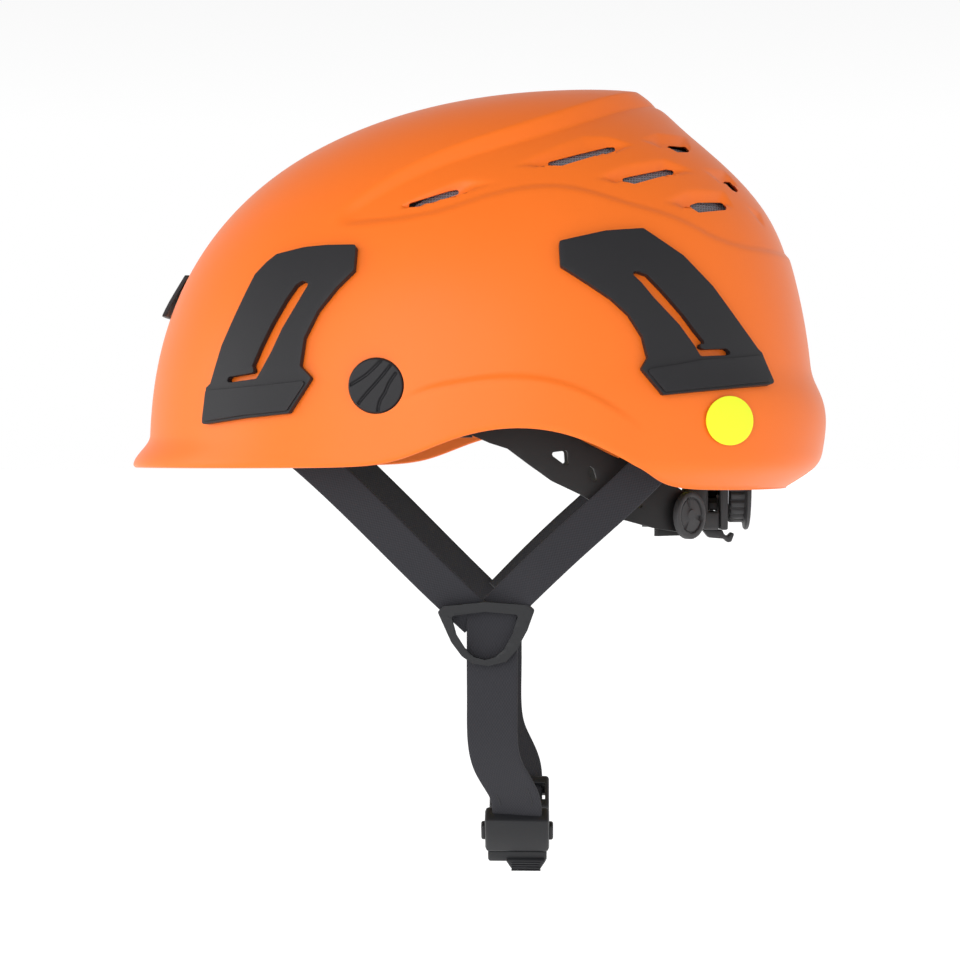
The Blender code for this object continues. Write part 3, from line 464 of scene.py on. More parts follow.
def settle(piece):
    """Replace a piece's mesh by what its modifiers make of it, and drop the modifiers."""
    bpy.context.view_layer.update()
    evaluated = piece.evaluated_get(bpy.context.evaluated_depsgraph_get())
    made = bpy.data.meshes.new_from_object(evaluated)
    piece.modifiers.clear()
    piece.data = made
    return piece


def cut(piece, cutter, solver="EXACT", operation="DIFFERENCE"):
    """Boolean with a cutter, worked out at once; the cutter is removed."""
    step = piece.modifiers.new("cut", "BOOLEAN")
    step.operation = operation
    step.solver = solver
    step.object = cutter
    before = len(piece.data.polygons)
    settle(piece)
    bpy.data.objects.remove(cutter)
    if len(piece.data.polygons) in (0, before):
        raise RuntimeError(f"{piece.name}: the cut made no difference")
    return piece


def soften(piece, width, segments=2, sharp=35.0):
    """Rounded edges where faces meet at more than 35 degrees."""
    bevel = piece.modifiers.new("edges", "BEVEL")
    bevel.width = width * MM
    bevel.segments = segments
    bevel.limit_method = "ANGLE"
    bevel.angle_limit = math.radians(sharp)
    bevel.harden_normals = False
    settle(piece)
    piece.data.shade_smooth()
    piece.data.set_sharp_from_angle(angle=math.radians(40))
    return piece


def plate(name, outlines, thickness, edge=0.0, wrap=None, step=3.0):
    """Filled outline with a rounded edge, cut across every few millimetres and carried onto a surface.

    wrap takes the outline's two coordinates and the height above the plate's lower face.
    """
    flat = bpy.data.curves.new(name, "CURVE")
    flat.dimensions = "2D"
    flat.fill_mode = "BOTH"
    flat.extrude = thickness / 2
    for outline in outlines:
        spline = flat.splines.new("POLY")
        spline.points.add(len(outline) - 1)
        spline.points.foreach_set("co", [c for a, b in outline for c in (a, b, 0.0, 1.0)])
        spline.use_cyclic_u = True
    guide = link_piece(name + "_guide", flat)
    bpy.context.view_layer.update()
    mesh = bpy.data.meshes.new_from_object(guide.evaluated_get(bpy.context.evaluated_depsgraph_get()))
    bpy.data.objects.remove(guide)
    mesh.name = name
    work = bmesh.new()
    work.from_mesh(mesh)
    bmesh.ops.remove_doubles(work, verts=work.verts, dist=1e-4)
    if edge:
        rims = [e for e in work.edges if e.is_manifold and e.calc_face_angle() > math.radians(75)
                and abs(e.verts[0].co.z - e.verts[1].co.z) < 1e-6]
        bmesh.ops.bevel(work, geom=rims, offset=edge, segments=3, profile=0.5, affect="EDGES",
                        clamp_overlap=True)
    points = np.array([v.co for v in work.verts])
    for axis in (0, 1) if wrap else ():
        for at in np.arange(points[:, axis].min() + step, points[:, axis].max(), step):
            place = (at, 0, 0) if axis == 0 else (0, at, 0)
            everything = list(work.verts) + list(work.edges) + list(work.faces)
            normal = (1 - axis, axis, 0)
            bmesh.ops.bisect_plane(work, geom=everything, plane_co=place, plane_no=normal, dist=1e-4)
    work.to_mesh(mesh)
    work.free()
    points = np.empty(len(mesh.vertices) * 3, np.float32)
    mesh.vertices.foreach_get("co", points)
    points = points.reshape(-1, 3).astype(float)
    height = points[:, 2] + thickness / 2
    flat_x, flat_y = points[:, 0], points[:, 1]
    made = wrap(flat_x, flat_y, height) if wrap else np.stack([flat_x, flat_y, height], -1)
    mesh.vertices.foreach_set("co", (made * MM).astype(np.float32).ravel())
    tidy_normals(mesh)
    return link_piece(name, mesh)


def mirrored(piece, name):
    """The same piece for the wearer's right: x turned round and faces turned back."""
    mesh = piece.data.copy()
    mesh.name = name
    mesh.transform(Matrix.Diagonal((-1, 1, 1, 1)))
    mesh.flip_normals()
    return link_piece(name, mesh)


def section(width, wall, corner=0.7, count=5):
    """Closed section of a strap or band: a rectangle with round corners."""
    corner = min(corner, wall / 2 - 0.01)
    quarter = np.linspace(0, math.pi / 2, count)
    parts = []
    for k, (sx, sy) in enumerate(((1, 1), (-1, 1), (-1, -1), (1, -1))):
        turn = quarter + k * math.pi / 2
        parts.append(np.stack([sx * (width / 2 - corner) + corner * np.cos(turn),
                               sy * (wall / 2 - corner) + corner * np.sin(turn)], 1))
        if k in (0, 2):
            across = np.linspace(1, -1, 11)[1:-1] * sx * (width / 2 - corner)
            parts.append(np.stack([across, np.full(9, sy * wall / 2)], 1))
    return np.concatenate(parts)


def strap_axes(path, across):
    """Directions of a strap: its path's slope, the given one made square to it, and their cross product."""
    along = unit(np.gradient(path, axis=0))
    across = np.asarray(across, float) * np.ones_like(path)
    across = unit(across - np.sum(across * along, axis=1)[:, None] * along)
    return along, across, np.cross(along, across)


def strap(name, path, across, width, wall, corner=0.7):
    """Section carried along a path: width along the given directions made square to the path, ends closed."""
    _, across, through = strap_axes(path, across)
    shape = section(width, wall, corner)
    grid = path[:, None] + shape[None, :, :1] * across[:, None] + shape[None, :, 1:] * through[:, None]
    travel = np.concatenate([[0], np.cumsum(np.linalg.norm(np.diff(path, axis=0), axis=1))])
    weave = np.zeros(grid.shape)
    weave[..., 0] = travel[:, None] * MM
    weave[..., 1] = shape[None, :, 0] * MM
    first = grid[:1].mean(axis=1, keepdims=True) + 0 * grid[:1]
    last = grid[-1:].mean(axis=1, keepdims=True) + 0 * grid[:1]
    weave = np.concatenate([weave[:1], weave, weave[-1:]])
    grid = np.concatenate([first, grid, last])
    return surface(name, grid, wrap_columns=True, weave=weave.reshape(-1, 3), sharp=50)


def soft_box(name, low, high, radius, turn=None):
    """Box with round edges: a ball's points, each octant moved out to its own corner."""
    low, high = np.asarray(low, float), np.asarray(high, float)
    half = (high - low) / 2
    edge = np.linspace(0.002, math.pi / 2 - 0.002, 5)
    around = np.concatenate([edge + k * math.pi / 2 for k in range(4)])[None, :]
    down = np.concatenate([[0.0], edge, edge + math.pi / 2, [math.pi]])[:, None]
    ball = np.stack([np.sin(down) * np.cos(around), np.sin(down) * np.sin(around),
                     np.cos(down) + 0 * around], -1)
    corner = np.sign(np.round(ball, 6))
    corner[0, :, :2] = 0
    corner[-1, :, :2] = 0
    grid = (low + high) / 2 + corner * (half - radius) + ball * radius
    if turn is not None:
        grid = turn(grid)
    return surface(name, grid, wrap_columns=True)


def turned(name, centre, axis, profile, columns=96, shape=None, sharp=35.0):
    """Round piece about an axis: each (radius, height) of the profile swept through a full turn.

    shape may change radius and height by the angle: it takes radius, height and angle arrays.
    """
    profile = np.asarray(profile, float)
    angle = np.linspace(0, 2 * math.pi, columns, endpoint=False)[None, :]
    radius = profile[:, :1] + 0 * angle
    height = profile[:, 1:] + 0 * angle
    if shape:
        radius, height = shape(radius, height, angle)
    axis = unit(np.asarray(axis, float))
    side = unit(np.cross([0, 0, 1.0], axis))
    up = np.cross(axis, side)
    grid = (np.asarray(centre, float) + radius[..., None] * (np.cos(angle)[..., None] * side
            + np.sin(angle)[..., None] * up) + height[..., None] * axis)
    return surface(name, grid, wrap_columns=True, sharp=sharp)


def worked_copy(node, name, edge):
    """Copy of a frame node, merged, its flat faces joined and its edges rounded."""
    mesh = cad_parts[node].data.copy()
    mesh.name = name
    mesh.materials.clear()
    work = bmesh.new()
    work.from_mesh(mesh)
    bmesh.ops.remove_doubles(work, verts=work.verts, dist=2e-6)
    bmesh.ops.dissolve_limit(work, angle_limit=math.radians(3), verts=work.verts, edges=work.edges)
    work.to_mesh(mesh)
    work.free()
    return soften(link_piece(name, mesh), edge)


def layer(name, lower, inset, wall, columns, rows, surface_at, inner_rows=24):
    """Closed bowl: outer skin from crown to rim, a half-round rim, then the inner skin back to the crown."""
    angle = np.linspace(0, 2 * math.pi, columns, endpoint=False)[None, :]
    base = lower(dome(angle, np.zeros_like(angle))[..., 1])
    half = wall / 2
    top = CROWN_HEIGHT - inset - 0.01

    def heights(count):
        """Rows between rim and crown, closer together towards the crown."""
        share = np.sin(np.linspace(0, math.pi / 2, count))[:, None]
        return (base + half * 0.98) + (top - base - half * 0.98) * share

    def sheet(count, depth):
        """One side of the bowl, pushed in by a depth along the outward direction."""
        z = heights(count)
        turn = np.broadcast_to(angle, z.shape)
        return surface_at(turn, z) - depth * outward(turn, z, inset)

    outer = sheet(rows, 0.0)
    inner = sheet(inner_rows, wall)
    outer[-1] = outer[-1].mean(axis=0)
    inner[-1] = inner[-1].mean(axis=0)
    across = (outer[0] - inner[0]) / 2
    middle = (outer[0] + inner[0]) / 2
    roll = np.linspace(0, math.pi, 7)[1:-1, None, None]
    bead = middle + np.cos(roll) * across + np.sin(roll) * np.array([0, 0, -half * 0.98])
    return surface(name, np.concatenate([outer[::-1], bead, inner]), wrap_columns=True, sharp=60)


# ---------------------------------------------------------------- finishes

def node_maker(name):
    """New material with its tree, its shader and a function that adds a node with given values."""
    made = bpy.data.materials.new(name)
    made.use_nodes = True
    tree = made.node_tree
    shader = tree.nodes["Principled BSDF"]

    def add(kind, **values):
        """Node whose settings or sockets take the given values."""
        node = tree.nodes.new(kind)
        for key, value in values.items():
            if hasattr(node, key):
                setattr(node, key, value)
            else:
                node.inputs[key].default_value = value
        return node

    return made, tree, shader, add


def join(tree, a, output, b, socket):
    """Link one node's output to another's socket."""
    tree.links.new(a.outputs[output], b.inputs[socket])


def embossed(tree, add, shader, source, output, strength, depth, invert=False):
    """Raise the surface by a value times a depth in metres."""
    bump = add("ShaderNodeBump", Strength=strength, Distance=depth, invert=invert)
    join(tree, source, output, bump, "Height")
    join(tree, bump, "Normal", shader, "Normal")


def two_toned(tree, add, shader, source, output, dark, light):
    """Base colour between two tones, by a value from 0 to 1."""
    mix = add("ShaderNodeMix", data_type="RGBA")
    mix.inputs[6].default_value = (*dark, 1)
    mix.inputs[7].default_value = (*light, 1)
    join(tree, source, output, mix, 0)
    tree.links.new(mix.outputs[2], shader.inputs["Base Color"])
    return mix


def mottled(tree, add, shader, coordinates, colour, roughness, fade, size):
    """Slow change of colour and roughness over a piece, from one soft noise."""
    cloud = add("ShaderNodeTexNoise", Scale=size, Detail=4.0)
    join(tree, *coordinates, cloud, "Vector")
    mix = two_toned(tree, add, shader, cloud, "Fac", [c * (1 - fade) for c in colour],
                    [min(1.0, c * (1 + fade)) for c in colour])
    rough = add("ShaderNodeMapRange")
    rough.inputs["To Min"].default_value = roughness - 0.06
    rough.inputs["To Max"].default_value = roughness + 0.06
    join(tree, cloud, "Fac", rough, "Value")
    join(tree, rough, "Result", shader, "Roughness")
    return mix


def moulded(name, colour, roughness=0.5, grain=1800.0, depth=0.00002, fade=0.06, strength=0.35, coat=0.0,
            metal=0.0, specular=0.3):
    """Moulded plastic or metal: mottled colour, a fine spark-eroded grain and a little flow in the sheen."""
    made, tree, shader, add = node_maker(name)
    place = add("ShaderNodeTexCoord")
    mottled(tree, add, shader, (place, "Object"), colour, roughness, fade, 22.0)
    fine = add("ShaderNodeTexNoise", Scale=grain, Detail=2.0)
    join(tree, place, "Object", fine, "Vector")
    embossed(tree, add, shader, fine, "Fac", strength, depth)
    shader.inputs["Metallic"].default_value = metal
    shader.inputs["Coat Weight"].default_value = coat
    shader.inputs["Specular IOR Level"].default_value = specular
    shader.inputs["Coat Roughness"].default_value = 0.25
    return made


def wave(tree, add, source, output, pitch, phase=0.0):
    """Sine of a place divided by a pitch in metres."""
    scale = add("ShaderNodeMath", operation="MULTIPLY_ADD")
    scale.inputs[1].default_value = 2 * math.pi / pitch
    scale.inputs[2].default_value = phase
    join(tree, source, output, scale, 0)
    sine = add("ShaderNodeMath", operation="SINE")
    join(tree, scale, 0, sine, 0)
    return sine


def woven(name, colour, along=0.0018, across=0.0011, depth=0.00012):
    """Webbing: rows of warp ribs crossed by weft, from the place on the cloth; tops lighter and duller, the rib
    tops painted highlight and the hollows between them painted shade.
    """
    made, tree, shader, add = node_maker(name)
    place = add("ShaderNodeAttribute", attribute_name="weave")
    parts = add("ShaderNodeSeparateXYZ")
    join(tree, place, "Vector", parts, "Vector")
    ribs = wave(tree, add, parts, "Y", across)
    weft = wave(tree, add, parts, "X", along)
    crossed = add("ShaderNodeMath", operation="MULTIPLY")
    join(tree, ribs, 0, crossed, 0)
    join(tree, weft, 0, crossed, 1)
    height = add("ShaderNodeMath", operation="MULTIPLY_ADD")
    height.inputs[1].default_value = 0.5
    height.inputs[2].default_value = 0.5
    join(tree, crossed, 0, height, 0)
    fibre = add("ShaderNodeTexNoise", Scale=2600.0, Detail=2.0)
    join(tree, place, "Vector", fibre, "Vector")
    total = add("ShaderNodeMath", operation="MULTIPLY_ADD")
    total.inputs[1].default_value = 0.35
    join(tree, fibre, "Fac", total, 0)
    join(tree, height, 0, total, 2)
    embossed(tree, add, shader, total, 0, 0.35, depth)
    # painted light: the weave's hollows are painted dim as shade and its rib tops light as highlight
    two_toned(tree, add, shader, height, 0, [c * 0.78 for c in colour], [c * 1.15 for c in colour])
    shader.inputs["Roughness"].default_value = 0.85
    shader.inputs["Specular IOR Level"].default_value = 0.2
    shader.inputs["Sheen Weight"].default_value = 0.06
    shader.inputs["Sheen Roughness"].default_value = 0.5
    return made


def cellular(name, colour, cell, depth, roughness=0.9, sheen=0.0, fade=0.12):
    """Beaded foam or knitted pad cloth: rounded cells of one size, each a little lighter in its middle, with
    painted shade in the crevices between the cells.
    """
    made, tree, shader, add = node_maker(name)
    place = add("ShaderNodeTexCoord")
    cells = add("ShaderNodeTexVoronoi", Scale=1 / cell)
    join(tree, place, "Object", cells, "Vector")
    mix = mottled(tree, add, shader, (place, "Object"), colour, roughness, fade, 60.0)
    # painted shade: each cell is dimmed towards its rim, into the crevices between the raised cells
    painted_crevice_shade = add("ShaderNodeMix", data_type="RGBA", blend_type="MULTIPLY")
    painted_crevice_shade.inputs[0].default_value = 0.5
    ramp = add("ShaderNodeMapRange")
    ramp.inputs["From Max"].default_value = 0.8
    ramp.inputs["To Min"].default_value = 1.0
    ramp.inputs["To Max"].default_value = 0.45
    join(tree, cells, "Distance", ramp, "Value")
    tree.links.new(mix.outputs[2], painted_crevice_shade.inputs[6])
    tree.links.new(ramp.outputs["Result"], painted_crevice_shade.inputs[7])
    tree.links.new(painted_crevice_shade.outputs[2], shader.inputs["Base Color"])
    embossed(tree, add, shader, cells, "Distance", 0.5, depth, invert=True)
    shader.inputs["Sheen Weight"].default_value = sheen
    return made


def mesh_gauze(name, colour, pitch=0.0011):
    """Vent screen: a square mesh of round threads with the gaps between them painted dark as painted shade,
    from the piece's own y and z.
    """
    made, tree, shader, add = node_maker(name)
    place = add("ShaderNodeTexCoord")
    parts = add("ShaderNodeSeparateXYZ")
    join(tree, place, "Object", parts, "Vector")
    one = wave(tree, add, parts, "Y", pitch)
    two = wave(tree, add, parts, "Z", pitch)
    top = add("ShaderNodeMath", operation="MAXIMUM")
    join(tree, one, 0, top, 0)
    join(tree, two, 0, top, 1)
    # painted shade: the gaps between the threads are painted dim in place of the shade seen through them
    two_toned(tree, add, shader, top, 0, [c * 0.65 for c in colour], colour)
    embossed(tree, add, shader, top, 0, 0.8, 0.0003)
    shader.inputs["Roughness"].default_value = 0.7
    return made


FINISHES = {}


def finish(name):
    """One material for each finish, made when it is first asked for."""
    if name in FINISHES:
        return FINISHES[name]
    shell = bpy.context.scene.helmet_shell
    fit = bpy.context.scene.helmet_fit
    straps = bpy.context.scene.helmet_straps
    makers = {
        "shell": lambda: moulded("shell_satin", shell.colour, shell.roughness, 2400.0, 0.000012, 0.02, 0.3,
                                 0.08),
        "clip": lambda: moulded("clip_nylon", shell.fitting, 0.5, 1500.0, 0.00004, 0.1),
        "label": lambda: moulded("label_film", shell.label, 0.35, 900.0, 0.000008, 0.02, 0.2, 0.15),
        "screen": lambda: mesh_gauze("vent_gauze", (0.22, 0.215, 0.245)),
        "foam": lambda: cellular("beaded_foam", (0.05, 0.05, 0.055), 0.0028, 0.00025, 0.85),
        "slip": lambda: moulded("slip_film", fit.slip, 0.32, 700.0, 0.00001, 0.04),
        "pad": lambda: cellular("pad_knit", fit.pad, 0.0009, 0.00018, 0.95, 0.35, 0.15),
        "band": lambda: moulded("band_nylon", fit.band, 0.5, 1400.0, 0.00004, 0.12),
        "housing": lambda: moulded("housing_nylon", fit.housing, 0.48, 1500.0, 0.00005, 0.1),
        "steel": lambda: moulded("spring_steel", (0.6, 0.6, 0.62), 0.3, 3000.0, 0.00001, 0.05, 0.2, 0.0,
                                 1.0, 0.5),
        "rubber": lambda: moulded("anchor_rubber", (0.03, 0.03, 0.03), 0.75, 1100.0, 0.00006, 0.15),
        "webbing": lambda: woven("strap_webbing", straps.webbing),
        "buckle": lambda: moulded("buckle_acetal", straps.buckle, 0.42, 1600.0, 0.00004, 0.1),
        "stitch": lambda: moulded("stitch_thread", (0.034, 0.034, 0.037), 0.8, 4000.0, 0.00005, 0.2),
    }
    FINISHES[name] = makers[name]()
    return FINISHES[name]


def done(piece, finish_name, body, *nodes):
    """Give a piece its finish, the body it rides on and the frame nodes that it stands for."""
    piece.data.materials.clear()
    piece.data.materials.append(finish(finish_name))
    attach(piece, body)
    if nodes:
        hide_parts(*nodes)
    return piece


def pair(piece, finish_name, body, *nodes):
    """Finish a piece of the wearer's left and its mirror image, which rides and stands for the right's own."""
    other = mirrored(piece, piece.name.replace("left", "right"))
    done(piece, finish_name, body, *nodes)
    done(other, finish_name, body.replace("left", "right"), *[node.replace("left", "right") for node in nodes])


def refinish(node, finish_name):
    """Give a frame node that stays in view a full material."""
    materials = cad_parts[node].data.materials
    materials.clear()
    materials.append(finish(finish_name))


# ---------------------------------------------------------------- shell group

def extruded_cutter(name, outlines, low, high):
    """One closed prism along X for each (y, z) outline."""
    prism = plate(name, outlines, high - low)
    prism.data.transform(Matrix(((0, 0, 1, low * MM), (1, 0, 0, 0), (0, 1, 0, 0), (0, 0, 0, 1))))
    return prism


def make_shell():
    """Shell: the relief's skin and its inner side as one closed bowl, with vents and sockets cut through."""
    shell = layer("helmet_shell", rim_height, 0.0, SHELL_WALL, 420, 190, skin, 26)
    outlines = [rounded(outline, 1.2, 3) for outline in VENTS.values()]
    cut(shell, extruded_cutter("vent_cutter", outlines, -130, 130), "MANIFOLD")
    reach = float(side_x(PLUG_Y, PLUG_Z))
    hole = [circle(PLUG_Y, PLUG_Z, PLUG_RADIUS, 64)]
    for middle in (reach, -reach):
        cut(shell, extruded_cutter("plug_cutter", hole, middle - 14, middle + 14), "MANIFOLD")
    shell.data.shade_smooth()
    shell.data.set_sharp_from_angle(angle=math.radians(42))
    done(shell, "shell", "helmet", "outer_shell")


def make_liners():
    """Foam and slip liner: closed bowls of the plain dome, each set in by its own distance."""
    foam = layer("foam_bowl", foam_edge, FOAM_INSET, FOAM_WALL, 160, 40,
                 lambda angle, z: dome(angle, z, FOAM_INSET), 40)
    done(foam, "foam", "helmet", "foam_liner")
    slip = layer("slip_bowl", lambda y: foam_edge(y) + 9, SLIP_INSET, SLIP_WALL, 160, 36,
                 lambda angle, z: dome(angle, z, SLIP_INSET), 36)
    done(slip, "slip", "slip_plane", "slip_liner")


def cushion_form(rows, columns, spread, across_power, up_power, crown_power):
    """Crowned cushion, each way from -1 to 1: a superellipse outline swept from face to face over its seam.

    Returns the places across and up, and the thickness, which falls to nothing at the outline.
    """
    down = np.linspace(0, math.pi, rows)[:, None]
    around = np.linspace(0, 2 * math.pi, columns, endpoint=False)[None, :]
    reach = np.sin(down) ** spread
    across = signed_power(np.cos(around), across_power) * reach
    up = signed_power(np.sin(around), up_power) * reach
    return across, up, signed_power(np.cos(down), crown_power), reach


def pillow(name, centre, half):
    """Pad on the dome: the cushion form in angle and height, with a sewn groove a little inside its edge.

    centre and half are an angle in degrees and a height in millimetres.
    """
    across, up, thick, reach = cushion_form(28, 64, 0.7, 0.55, 0.55, 0.5)
    depth = PAD_INSET + PAD_WALL / 2 - thick * PAD_WALL / 2 + 0 * across
    groove = 0.5 * np.exp(-((reach - 0.86) / 0.05) ** 2) * np.sign(-thick) * (np.abs(thick) > 0.2)
    grid = dome(np.radians(centre[0] + half[0] * across), centre[1] + half[1] * up, depth - groove)
    return surface(name, grid, wrap_columns=True, sharp=75)


def swell(piece, cap):
    """Let a pad fill out as cloth under a little pressure, moving no point further than the cap."""
    start = np.empty(len(piece.data.vertices) * 3)
    piece.data.vertices.foreach_get("co", start)
    cloth = piece.modifiers.new("filling", "CLOTH")
    cloth.settings.use_pressure = True
    cloth.settings.uniform_pressure_force = 4.0
    cloth.settings.effector_weights.gravity = 0.0
    cloth.settings.quality = 4
    cloth.point_cache.frame_end = 10
    scene = bpy.context.scene
    for number in range(1, 11):
        scene.frame_set(number)
    evaluated = piece.evaluated_get(bpy.context.evaluated_depsgraph_get())
    moved = np.empty(len(piece.data.vertices) * 3)
    evaluated.data.vertices.foreach_get("co", moved)
    piece.modifiers.clear()
    scene.frame_set(1)
    shift = (moved - start).reshape(-1, 3)
    far = np.linalg.norm(shift, axis=1, keepdims=True)
    shift *= np.minimum(1.0, cap * MM / np.maximum(far, 1e-9))
    piece.data.vertices.foreach_set("co", (start + shift.ravel()).astype(np.float32))
    piece.data.update()
    return piece


def make_pads():
    """Pads of the slip liner: the crown's own disc, and three pillows at the sides and the forehead."""
    pads = {
        "crown_cushion": ("crown_pad", None, None),
        "side_cushion_left": ("side_pad_left", (90, 68), (27, 15.5)),
        "side_cushion_right": ("side_pad_right", (-90, 68), (27, 15.5)),
        "forehead_cushion": ("forehead_pad", (180, 61), (27, 14.5)),
    }
    for name, (node, centre, half) in pads.items():
        pad = pillow(name, centre, half) if centre else crown_cushion(name)
        swell(pad, 0.8)
        done(pad, "pad", "slip_plane", node)


def crown_cushion(name):
    """Domed pad under the crown: rings from the middle out, thickness falling to nothing at its round edge."""
    top = CROWN_HEIGHT - PAD_INSET
    share = np.sin(np.linspace(0, math.pi, 48))[:, None]
    side = np.cos(np.linspace(0, math.pi, 48))[:, None]
    around = np.linspace(0, 2 * math.pi, 96, endpoint=False)[None, :]
    z = top - 0.01 - (top - 108) * share ** 2 * (1 - 0.06 * np.cos(5 * around) ** 2)
    lift = signed_power(side, 0.45) * PAD_WALL / 2
    base = dome(np.broadcast_to(around, z.shape), z, PAD_INSET)
    normal = outward(np.broadcast_to(around, z.shape), z, PAD_INSET)
    grid = base + normal * (lift - PAD_WALL / 2)[..., None]
    grid[0] = grid[0].mean(axis=0)
    grid[-1] = grid[-1].mean(axis=0)
    return surface(name, grid, wrap_columns=True, sharp=75)


CLIPS = {
    "front": ([(-36, 84), (-48, 84), (-56.5, 83.5), (-67.5, 81.5), (-71.5, 78.5), (-76, 74), (-79, 67.5),
               (-83.5, 58), (-88.5, 47), (-93, 32), (-95, 31.5), (-97, 16.5), (-79.5, 19), (-61, 20.5),
               (-52, 34), (-57, 38.3), (-55.5, 49), (-50.5, 59), (-43.5, 67.7), (-36.5, 74)],
              [(-56.5, 70.5), (-54, 69.5), (-58, 62.5), (-64, 52.5), (-68, 44), (-72, 37), (-74, 34),
               (-85.5, 33), (-85.5, 34.6), (-75, 36.3), (-75.5, 39), (-72.5, 46), (-68.5, 54), (-63, 63.5),
               (-59, 69)],
              [(-94.6, 30.2), (-96.2, 17.4), (-79.5, 20), (-61.4, 21.4), (-53.3, 33.3), (-68, 31.6),
               (-85, 30.4)]),
    "rear": ([(39.5, 84.5), (57, 88.5), (71, 90), (86, 80), (97, 68.5), (107.5, 54.5), (114.5, 45), (116, 44.5),
              (121.5, 31.5), (78, 27), (69.5, 37), (72.5, 41), (70.5, 49), (65.5, 57), (59, 63), (50.5, 68.5),
              (40, 75)],
             [(67, 72.5), (68.5, 73.2), (72, 72), (78, 66), (85.5, 57.5), (90, 51.5), (93.5, 47), (91.8, 46),
              (93, 44.7), (102, 45), (103.5, 43), (92, 42), (89.5, 46), (84, 53.5), (74.5, 63.5), (70, 69)],
             [(71, 36.6), (78.4, 27.9), (120.2, 32.2), (115.6, 43.2), (104, 41.4), (92, 40.4), (84, 38.6)]),
}


def make_lamp_clips():
    """Lamp clips: slotted plates laid over the shell's side, each with a raised foot."""
    edge = bpy.context.scene.helmet_shell.edge / MM
    for place, (outer, slot, foot) in CLIPS.items():
        clip = plate(f"clip_{place}_left", [rounded(outer, 1.2, 3), rounded(slot, 0.9, 3)], CLIP_WALL,
                     edge,
                     lambda y, z, h: onto_side(y, z, h + GAP))
        raised = plate(f"clip_{place}_foot_left", [rounded(foot, 1.2, 3)], 1.6, 0.5,
                       lambda y, z, h: onto_side(y, z, h + GAP + CLIP_FOOT_LIFT))
        pair(clip, "clip", "helmet", f"lamp_clip_{place}_left")
        pair(raised, "clip", "helmet")


def make_forehead_clip():
    """Hook on the forehead: a plate bent to the brow that stands further off towards its free lower end."""
    outline = rounded([(-17, 82), (17, 82), (14.5, 61), (-14.5, 61)], 3.0, 4)

    def over_brow(x, z, height):
        """Place before the forehead, standing further off towards the lower end."""
        front = plan_reach(z)[0]
        width = plan_reach(z)[2]
        bow = (1 - (np.abs(x) / width) ** PLAN_POWER) ** (1 / PLAN_POWER)
        y = CROWN_Y + (front - CROWN_Y) * bow
        stand = 0.5 + 2.2 * ease((82 - z) / 21)
        return np.stack([x, y - stand - height * 0.9, z], -1)

    hook = plate("forehead_hook", [outline], 2.0, 0.6, over_brow)
    done(hook, "clip", "helmet", "forehead_clip")


GROOVES = [[(-9.7, 0.2), (-3.8, 3.9), (1.8, 9.2)],
           [(-6.4, -6.6), (-3.2, -2.6), (-1.0, -0.2), (1.8, 3.0), (5.9, 8.0)],
           [(0.8, -9.5), (1.8, -5.3), (3.3, -2.8), (4.7, 0.3), (7.5, 4.6)]]


def make_plugs():
    """Round plug with three curved grooves that fan out from one side of its rim."""
    reach = float(side_x(PLUG_Y, PLUG_Z))
    radius = PLUG_RADIUS - GAP
    profile = [(ring * radius / 44, 1.4) for ring in range(0, 42)]
    profile += [(radius - 0.5, 1.35), (radius - 0.15, 1.1), (radius, 0.7), (radius, -1.8),
                (radius - 0.4, -2.2), (5.0, -2.2), (5.0, -8.0), (4.5, -8.5), (0.0, -8.5)]

    def grooves(r, height, angle):
        """Height lowered within half a millimetre of each groove's line."""
        y, z = r * np.cos(angle), r * np.sin(angle)
        deep = np.zeros_like(r)
        for points in GROOVES:
            line = smooth_path(points, 30)
            off = np.hypot(y[..., None] - line[:, 0], z[..., None] - line[:, 1]).min(axis=-1)
            deep = np.maximum(deep, np.exp(-(off / 0.55) ** 4) * (r < 9.7))
        return r, height - 0.8 * deep * (height > 1.2)

    plug = turned("plug_button_left", (reach, PLUG_Y, PLUG_Z), (1, 0, 0), profile, 160, grooves)
    pair(plug, "clip", "plug_left", "accessory_plug_left")


def make_label():
    """Round label: a thin disc laid over the shell's side."""
    label = plate("label_disc", [circle(LABEL_Y, LABEL_Z, LABEL_RADIUS, 72)], 0.5, 0.2,
                  lambda y, z, h: onto_side(y, z, h + 0.9))
    done(label, "label", "helmet", "round_label")


# ---------------------------------------------------------------- fit system

ARM_PLAN = [(75.0, -14), (75.6, 5), (74.0, 25), (70, 48), (64.2, 69), (57.6, 81.8), (46, 93.5)]


def onto_arm(y, z, height):
    """Point over the arm's band: its plan at that y, then out along the plan's own normal."""
    plan = smooth_path(ARM_PLAN, 120)
    slope = unit(np.gradient(plan, axis=0))
    x = np.interp(y, plan[:, 1], plan[:, 0])
    nx = np.interp(y, plan[:, 1], slope[:, 1])
    ny = np.interp(y, plan[:, 1], -slope[:, 0])
    return np.stack([x + nx * height, y + ny * height, z], -1)


